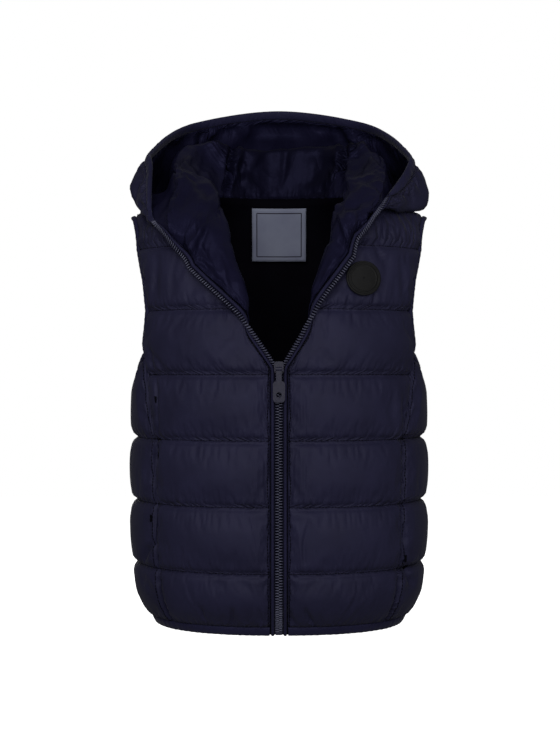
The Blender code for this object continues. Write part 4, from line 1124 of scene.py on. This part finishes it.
up, across = np.meshgrid(np.linspace(-0.5, 0.5, 25), np.linspace(-0.5, 0.5, 25), indexing="ij")
x, z = label["width"] * across, label["z"] + label["height"] * up
edge = np.minimum(0.5 - np.abs(across), 0.5 - np.abs(up)) * label["width"]
lift = label["thick"] * (0.45 + 0.55 * edgeRise(edge, 2.5))
labelPiece = shell(
    "label_patch", patch(x, z, label["gap"]), patch(x, z, label["gap"] + lift), "label", "grey_label",
    nodes=["label"],
)
turn = np.linspace(-1, 1, 30)
half = np.array([label["width"], label["height"]]) / 2 - label["inset"]
for number, (dx, dz) in enumerate(((0, 1), (1, 0), (0, -1), (-1, 0))):
    x = dx * half[0] + dz * turn * half[0]
    z = label["z"] + dz * half[1] + dx * turn * half[1]
    line = patch(x, z, label["gap"] + label["thick"])
    side = np.array([dx, 0, dz]) * label["border"] / 2
    band(
        f"label_border_{number}", line - side, line + side, np.tile([0.0, -1, 0], (len(turn), 1)), -0.2, 0.25,
        "frame", "grey_label",
    )


# Bindings

wrap = (-seam["skin"], seam["wall"] + seam["skin"])
z = np.array([hem["low"], hem["high"]])
turns = [start + np.linspace(0, 1, 360) * (360 - 2 * start) for start in degreesAt(z, zipChain["edge"] + 0.3)]
rims = [body(level, turn) for level, turn in zip(z, turns)]
band(
    "hem_binding_strip", *rims, outward(hem["high"], turns[1]), *wrap, "binding", "navy_binding", ripple=0.35,
    nodes=["hem_binding"],
)
for hand, side in hands.items():
    up = heights[hand] > armholeFloor["height"][0]
    down, floor = np.arange(rowCount - 2, floorRow, -1), np.arange(cells["side"], -1, -1)
    sheet, back, backOut = sheets[hand][up], sheets["back"][:, ::-side], normals["back"][:, ::-side]
    loop = np.concatenate([sheet[:, 0], back[down, cells["side"]], back[floorRow, floor]])
    loopOut = np.concatenate([normals[hand][up, 0], backOut[down, cells["side"]], backOut[floorRow, floor]])
    away = unit(np.concatenate([
        sheet[:, 0] - sheet[:, 1], back[down, cells["side"]] - back[down, cells["side"] + 1],
        back[floorRow, floor] - back[floorRow - 1, floor],
    ]))
    run = lengths(np.concatenate([loop, loop[:1]]))
    at = np.linspace(0, run[-1], 200, endpoint=False)
    loop, loopOut, away = (
        carried(at, run, np.concatenate([values, values[:1]])) for values in (loop, loopOut, away)
    )
    for _ in range(8):
        away, loopOut = (unit(np.roll(v, 1, 0) + 2 * v + np.roll(v, -1, 0)) for v in (away, loopOut))
    band(
        f"armhole_binding_{hand}_strip", loop - seam["overlap"] * away, loop + seam["binding"] * away,
        loopOut, *wrap, "binding", "navy_binding", ring=True, ripple=0.25, nodes=[f"armhole_binding_{hand}"],
    )
band(
    "hood_edge_strip", *sheets["hood"][-2:], normals["hood"][-2], *wrap, "binding", "navy_binding",
    ripple=0.4, nodes=["hood_edge_band"],
)
print("bindings built")


# Zip: woven tapes, and single teeth that mesh below the slider

tooth = {"pitch": 2.6, "base": 5.2, "low": -1.1, "high": 2.8}
profile = np.array([(0.0, 0.42), (0.8, 0.36), (1.5, 0.42), (2.1, 0.62), (2.9, 0.6), (3.4, 0.34)])
sections = [(tooth["low"], 0.7), (tooth["low"] + 0.5, 1.0), (tooth["high"] - 0.7, 1.0), (tooth["high"], 0.6)]
outline = np.concatenate([profile, profile[::-1] * (1, -1)])
toothPoints = np.array([(w * size, x, level) for level, size in sections for x, w in outline])
toothSides = gridFaces(len(sections), len(outline), ring=True)
lastRing = (len(sections) - 1) * len(outline)
pairs = [(i, i + 1, len(outline) - 2 - i, len(outline) - 1 - i) for i in range(len(profile) - 1)]
caps = np.array([[lastRing + i for i in pair] for pair in pairs] + [pair[::-1] for pair in pairs])
toothFaces = np.concatenate([toothSides, caps])
tapeFlat = table("share back height", (-0.1, 0.2, 0.6), (0.5, 0.2, 0.6), (1.015, 0.2, 0.6))
tapeRib = table(
    "share back height",
    (0.12, 0.1, 0.7), (0.15, -0.5, 1.8), (0.21, -0.9, 2.6), (0.32, -1.1, 3.0), (0.43, -0.9, 2.6),
    (0.49, -0.5, 1.8), (0.52, 0.1, 0.7),
)
for hand, side in hands.items():
    strip, out = strips[hand]
    hook = hookEnd - cells["shoulder"]
    start, end = strip[:, hook], strip[:, hook + cells["tape"]]
    zipOut = out[:, hook + 2]
    # The flat tape under the rib takes the darker tape finish: painted shade in its grooves
    for name, part, nodes in (("tape", tapeFlat, [f"zip_tape_{hand}"]), ("rib", tapeRib, [])):
        tape = start[:, None] + part["share"][None, :, None] * (end - start)[:, None]
        shell(
            f"zip_{name}_{hand}_strip", tape + part["back"][None, :, None] * zipOut[:, None],
            tape + part["height"][None, :, None] * zipOut[:, None], name, "navy_tape", nodes=nodes,
        )
    line = start + tooth["base"] / zipChain["edge"] * (end - start)
    run = lengths(line)
    first = 2.0 + (tooth["pitch"] / 2 if side > 0 else 0)
    origins, axes = framesAlong(line, zipOut, tooth["pitch"], first)
    axes[:, 1] = unit(carried(np.arange(first, run[-1], tooth["pitch"]), run, end - start))
    axes[:, 0] = unit(np.cross(axes[:, 1], axes[:, 2]))
    many(
        f"zip_teeth_{hand}_row", toothPoints, toothFaces, (origins, axes), "teeth", "navy_plastic",
        nodes=[f"zip_teeth_{hand}"],
    )
print("zip built")


# Badge: a moulded disc with a raised rim and a ring inside it

badge = {"x": 79.0, "z": -62.5, "radius": 16.5}
chest = (padded["left"]["start"] + padded["left"]["step"])[:, : cells["body"]].reshape(-1, 3)
chest = chest[np.hypot(chest[:, 0] - badge["x"], chest[:, 2] - badge["z"]) < 1.25 * badge["radius"]]
rise = table(
    "share height",
    (0, 2.0), (0.7, 2.0), (0.735, 2.35), (0.775, 2.35), (0.81, 1.9), (0.86, 1.9), (0.9, 2.6), (0.965, 2.6),
    (0.995, 2.1), (1.0, 0.0),
)
radii = np.concatenate([np.linspace(0.04, 0.66, 10), np.linspace(0.68, 1, 34)])
turns = np.linspace(0, 2 * np.pi, 96, endpoint=False)
share, turn = np.meshgrid(radii, turns, indexing="ij")
x = badge["x"] + badge["radius"] * share * np.cos(turn)
z = badge["z"] + badge["radius"] * share * np.sin(turn)
y = fittedPatch(chest, x, z) - np.interp(share, rise["share"], rise["height"])
points = np.stack([x, y, z], -1).reshape(-1, 3)
faces = gridFaces(len(radii), len(turns), ring=True)
hub = np.arange(len(turns))
points = np.concatenate([points, [points[hub].mean(0)]])
ahead = np.roll(hub, -1)
faces = np.concatenate([faces, np.stack([ahead, hub, np.full(len(hub), len(points) - 1), ahead], -1)])
finishPiece("badge_disc", points, faces, "rubber", "black_rubber", nodes=["badge"])


# Stitching: one row of thread on every quilt line and beside the zip, and a row of dark thread beside each
# side seam as painted shade of its crease

stitch = {"shape": capsule(2.6, 1.2, 0.9), "pitch": 3.0, "proud": 0.1}


def sewnRows(surface, out, inner):
    # Frames for the thread on the quilt lines, each within its own columns
    parts = []
    for number in range(1, len(quiltLines)):
        at = number * cells["channel"]
        parts.append(framesAlong(surface[at, inner(number)], out[at, inner(number)], stitch["pitch"]))
    return parts


def sewOn(name, parts):
    # Every stitch of a panel as one piece, just proud of the cloth
    origins, axes = (np.concatenate(values) for values in zip(*parts))
    many(name, *stitch["shape"], (origins + stitch["proud"] * axes[:, 2], axes), "thread", "navy_shell")


for hand in hands:
    surface, out = padded[hand]["outer"], padded[hand]["fineOut"]
    parts = sewnRows(surface, out, lambda number: slice(None))
    sewOn(f"stitches_front_{hand}", [*parts, framesAlong(surface[:, -4], out[:, -4], stitch["pitch"])])
surface, out = padded["back"]["outer"], padded["back"]["fineOut"]
margin = backTimes * cells["side"]
parts = sewnRows(surface, out, lambda number: slice(margin, -margin) if number >= floorLine else slice(None))
# Rows of dark thread beside the side seams, below the armholes, as painted shade of the seam creases
for column in (3, -4):
    parts.append(framesAlong(surface[:floorRow, column], out[:floorRow, column], stitch["pitch"]))
sewOn("stitches_and_seam_shade_back", parts)

# Bar tacks close each end of the pockets in the side seams
tacks = table("x z", (-116, -175), (-121, -288), (117, -215), (119, -326))
tack = {"rows": 11, "step": 0.6, "shape": capsule(3.6, 0.7, 0.7), "proud": 0.25}
for number, (x, z) in enumerate(zip(*tacks.values())):
    best = []
    for piece in (padded["right" if x < 0 else "left"], padded["back"]):
        points, out = piece["outer"].reshape(-1, 3), piece["fineOut"].reshape(-1, 3)
        far = np.hypot(points[:, 0] - x, points[:, 2] - z) + 1000 * (points[:, 1] > 0)
        best.append((far.min(), points[far.argmin()], out[far.argmin()]))
    _, place, out = min(best, key=lambda found: found[0])
    upward = unit(np.array([0, 0, 1.0]) - out[2] * out)
    sideways = np.cross(upward, out)
    at = (np.arange(tack["rows"]) - tack["rows"] / 2) * tack["step"]
    origins = place + at[:, None] * upward + tack["proud"] * out
    axes = np.repeat(np.stack([sideways, upward, out])[None], tack["rows"], 0)
    many(f"bar_tack_{number}", *tack["shape"], (origins, axes), "thread", "navy_shell")
print("stitching sewn")

for node in ("zip_slider", "zip_pull", "zip_box"):
    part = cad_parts[node]
    part.data.materials.clear()
    part.data.materials.append(finishes["plastic"])


# Stage, light and camera

def areaLight(name, place, target, size, power):
    # A rectangle of light, turned from its place to face its target
    light = bpy.data.lights.new(name, "AREA")
    light.shape, light.size, light.size_y, light.energy = "RECTANGLE", *size, power
    lamp = bpy.data.objects.new(name, light)
    bpy.context.scene.collection.objects.link(lamp)
    lamp.location = place
    aim = np.array(target) - np.array(place)
    lamp.rotation_euler = (np.arctan2(np.hypot(aim[0], aim[1]), -aim[2]), 0, np.arctan2(-aim[0], aim[1]))


floorMaterial = newMaterial(
    "white_studio_floor", Base_Color=linear("f4f4f4"), Roughness=0.9, Emission_Color=(1, 1, 1, 1),
    Emission_Strength=1.0,
)[0]
mesh = bpy.data.meshes.new("floor")
mesh.from_pydata([(x, y, -0.6) for y in (-3, 3) for x in (-3, 3)], [], gridFaces(2, 2).tolist())
mesh.materials.append(floorMaterial)
floor = bpy.data.objects.new("floor", mesh)
bpy.context.scene.collection.objects.link(floor)
floor.visible_glossy = floor.visible_diffuse = False

# White behind the piece for the camera, dim for the light that it gives
world = bpy.data.worlds.new("studio")
bpy.context.scene.world = world
world.use_nodes = True
tree = world.node_tree
toCamera = addNode(tree, "ShaderNodeLightPath").outputs["Is Camera Ray"]
strength = addNode(tree, "ShaderNodeMapRange", {"To Min": 0.12, "To Max": 1.0}, {"Value": toCamera})
tree.nodes["Background"].inputs["Color"].default_value = (1, 1, 1, 1)
tree.links.new(strength.outputs["Result"], tree.nodes["Background"].inputs["Strength"])
areaLight("key", (-0.35, -1.6, 0.55), (0, 0, -0.15), (1.4, 1.0), 12)
areaLight("fill", (0.6, -1.6, 0.1), (0, 0, -0.15), (1.4, 1.4), 6.5)
areaLight("back", (-0.2, 1.7, -0.25), (0, 0, -0.2), (1.2, 0.8), 5)
bpy.context.scene.view_settings.view_transform = "Standard"

camera = bpy.data.cameras.new("camera")
camera.sensor_fit = "HORIZONTAL"
camera.lens = 36 * eye["away"] / 560
view = bpy.data.objects.new("camera", camera)
bpy.context.scene.collection.objects.link(view)
view.location = (0.001, -eye["away"] * mm, eye["height"] * mm)
view.rotation_euler = (np.pi / 2, 0, 0)
bpy.context.scene.camera = view

print("scene ready")
